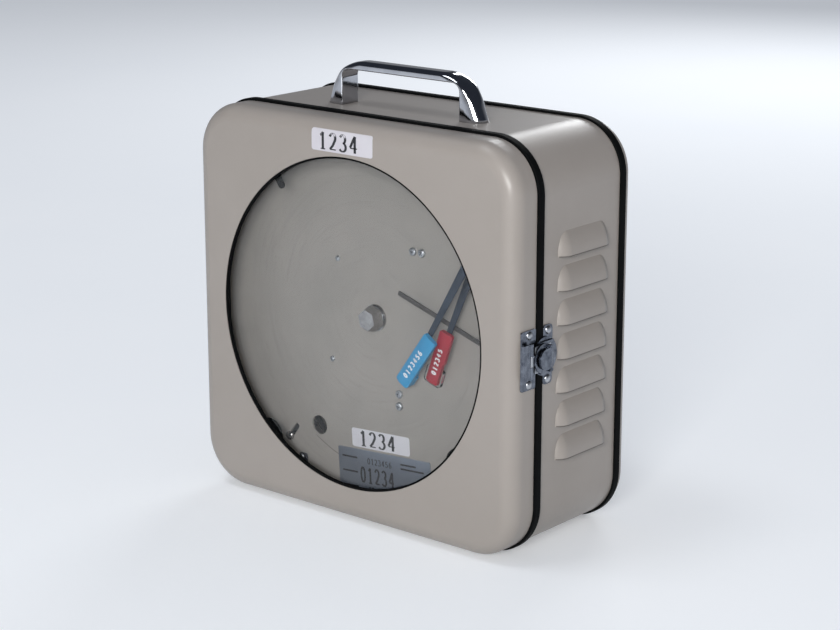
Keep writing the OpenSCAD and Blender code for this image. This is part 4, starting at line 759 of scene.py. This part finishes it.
def print_strokes(name, strokes, thick, thin, lift, material, node):
    """Prints strokes on a node's face. lift turns a stroke's x and z into a point on that face."""
    mesh = bpy.data.meshes.new(name)
    printed = bmesh.new()
    for bare in strokes:
        line = [bare[0]]
        for start, end in zip(bare, bare[1:]):
            parts = max(1, round(math.dist(start, end) / stroke_step))
            line += [tuple(start[i] + (end[i] - start[i]) * k / parts for i in range(2))
                     for k in range(1, parts + 1)]
        rings = []
        for k, (x, z) in enumerate(line):
            ahead, behind = line[min(k + 1, len(line) - 1)], line[max(k - 1, 0)]
            run = Vector((ahead[0] - behind[0], ahead[1] - behind[1])).normalized()
            half = (thin + (thick - thin) * abs(run[1])) / 2
            left = lift(x - run[1] * half, z + run[0] * half)
            right = lift(x + run[1] * half, z - run[0] * half)
            rings.append([left, right, right + ink_depth, left + ink_depth])
        one = turned(rings)
        part = bpy.data.meshes.new("stroke")
        one.to_mesh(part)
        one.free()
        printed.from_mesh(part)
        bpy.data.meshes.remove(part)
    bmesh.ops.recalc_face_normals(printed, faces=printed.faces)
    printed.to_mesh(mesh)
    printed.free()
    return finished(name, mesh, material, node_body[node], node_slot[node])


def written(text, x, z, height, pitch, narrow=1.0):
    """The strokes of a row of figures whose lower left corner is at x and z."""
    return [[(x + k * pitch + a * height * narrow, z + b * height) for a, b in line]
            for k, figure in enumerate(text) if figure in figures for line in figures[figure]]


def on_pen(turn, along, across, face):
    """The place of a point on a pen's front face, by the turn of the pen and the face's own middle."""
    turn = math.radians(turn)

    def lift(x, z):
        return Vector(((along + x) * math.cos(turn) - (across + z) * math.sin(turn), face,
                       (along + x) * math.sin(turn) + (across + z) * math.cos(turn)))
    return lift


pen_figure = 0.003
pen_thick, pen_thin = 0.0009, 0.0007
for pen, text, x, pitch, narrow, turn, along, across in (
        ("blue_pen", "0123456", -0.0115, 0.0031, 1.0, 54.6, 0.1083, 0.0266),
        ("red_pen", "012345", -0.009, 0.0029, 0.95, 71.1, 0.1187, -0.0175)):
    print_strokes(pen + "_figures", written(text, x, -pen_figure / 2, pen_figure, pitch, narrow),
                  pen_thick, pen_thin, on_pen(turn, along, across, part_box(pen)[0][1] - ink_height),
                  white_ink, pen)


# The label plate is a sheet of anodised aluminium, glued on the panel. It is printed
# in black with ruled lines and plain numbers.
anodised = mottled("label_metal", (134, 142, 156), (112, 119, 132), 40.0, 0.6, Metallic=0.6,
                   Roughness=0.42)
label_edge = 0.0001
rounded("label_plate", anodised, label_edge, 2)
ink = mottled("printing_ink", (22, 22, 26), (46, 46, 54), 1500.0, 0.5, Roughness=0.5)


def on_panel(node, tilt):
    """The place of a point on a tilted plate of the panel, from the plate's own middle."""
    low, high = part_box(node)
    turn = math.radians(tilt)

    def lift(x, z):
        return Vector(((low[0] + high[0]) / 2 + x * math.cos(turn) - z * math.sin(turn),
                       low[1] - ink_height,
                       (low[2] + high[2]) / 2 + x * math.sin(turn) + z * math.cos(turn)))
    return lift


label_tilt = 3.6
rule_width = 0.0011
short_from, short_to, long_from = -0.033, -0.021, 0.013
rules = [[(short_from, z), (short_to, z)] for z in (0.0085, -0.0005, -0.0095)]
rules += [[(long_from, z), (long_from + length, z)] for z, length in ((0.0095, 0.012), (0.0068, 0.018))]
on_label = on_panel("label_plate", label_tilt)
print_strokes("label_rules", rules, rule_width, rule_width, on_label, ink, "label_plate")
for name, text, x, z, height, pitch, narrow, thick, thin in (
        ("label_row", "0123456", -0.013, 0.0058, 0.0036, 0.0028, 1.0, 0.0006, 0.0004),
        ("label_figures", "01234", -0.019, -0.0062, 0.0095, 0.0056, 0.7, 0.0014, 0.001),
        ("label_low_row", "10 20 30 40 50", -0.013, -0.0118, 0.0034, 0.0024, 1.0, 0.0006, 0.0004)):
    print_strokes(name, written(text, x, z, height, pitch, narrow), thick, thin, on_label, ink,
                  "label_plate")


# The two stickers are white vinyl with rounded corners and a number printed in black.
# They are cut from sheet and stuck on the panel and over the door's upper edge.
vinyl = mottled("white_vinyl", (210, 208, 214), (200, 197, 205), 80.0, 0.6, Roughness=0.35)
coat(["panel_sticker", "door_sticker"], vinyl)
number_thick, number_thin = 0.0018, 0.0007
sticker_tilt = 3.3
print_strokes("panel_number", written("1234", -0.0165, -0.0047, 0.0094, 0.0074), number_thick,
              number_thin, on_panel("panel_sticker", sticker_tilt), ink, "panel_sticker")
low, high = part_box("door_sticker")
edge_radius = 0.0095
door_ink_height = 0.00016
bend_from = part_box("door_shell")[1][2] - edge_radius
face_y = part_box("door_shell")[0][1]


def on_door(x, z):
    """The place of a point on the door's sticker, which follows the face over its rounded edge."""
    high_z = (low[2] + high[2]) / 2 + z
    over_edge = max(0, high_z - bend_from)
    back = edge_radius - math.sqrt(edge_radius ** 2 - over_edge ** 2)
    return Vector(((low[0] + high[0]) / 2 + x, face_y + back - door_ink_height, high_z))


print_strokes("door_number", written("1234", -0.0175, -0.0052, 0.0098, 0.0078), number_thick,
              number_thin, on_door, ink, "door_sticker")


# The door is a pan of sheet steel, deep-drawn with a wide rounded edge and cut out
# for the window. It is sprayed with the case's paint and hangs on its hinges.
coat(["door_shell"], putty_paint)


# A black rubber gasket, moulded as one ring, seals the window in the door. Clips
# behind it press on the window, each held by a screw.
coat(["window_gasket"], rubber)
clip_edge = 0.0002
rounded("window_clips", rubber, clip_edge, 2)
before_clips = -0.03
fasten("clip_screws", screw, 1, zinc, 13, middle=before_clips)
for pattern_piece in (screw, rivet):
    bpy.data.objects.remove(pattern_piece)


# The window is a disc of clear acrylic, and the red pen's guard is the same stuff.
# Lamps and the room shine through it by the Transparent shader.
clear, tree, shader = new_material("clear_acrylic", Base_Color=(0.97, 0.98, 0.98, 1), Roughness=0.0,
                                   IOR=1.34, Transmission_Weight=1.0)
through = place(tree, "BsdfTransparent", Color=(0.94, 0.95, 0.95, 1)).outputs[0]
choice = place(tree, "MixShader")
rays = place(tree, "LightPath").outputs
join(tree, choice.inputs[0], reckon(tree, "MAXIMUM", rays["Is Shadow Ray"], rays["Is Diffuse Ray"]))
join(tree, choice.inputs[1], tree.nodes["Principled BSDF"].outputs[0])
join(tree, choice.inputs[2], through)
join(tree, tree.nodes["Material Output"].inputs["Surface"], choice.outputs[0])
coat(["window_pane", "pen_guard"], clear)
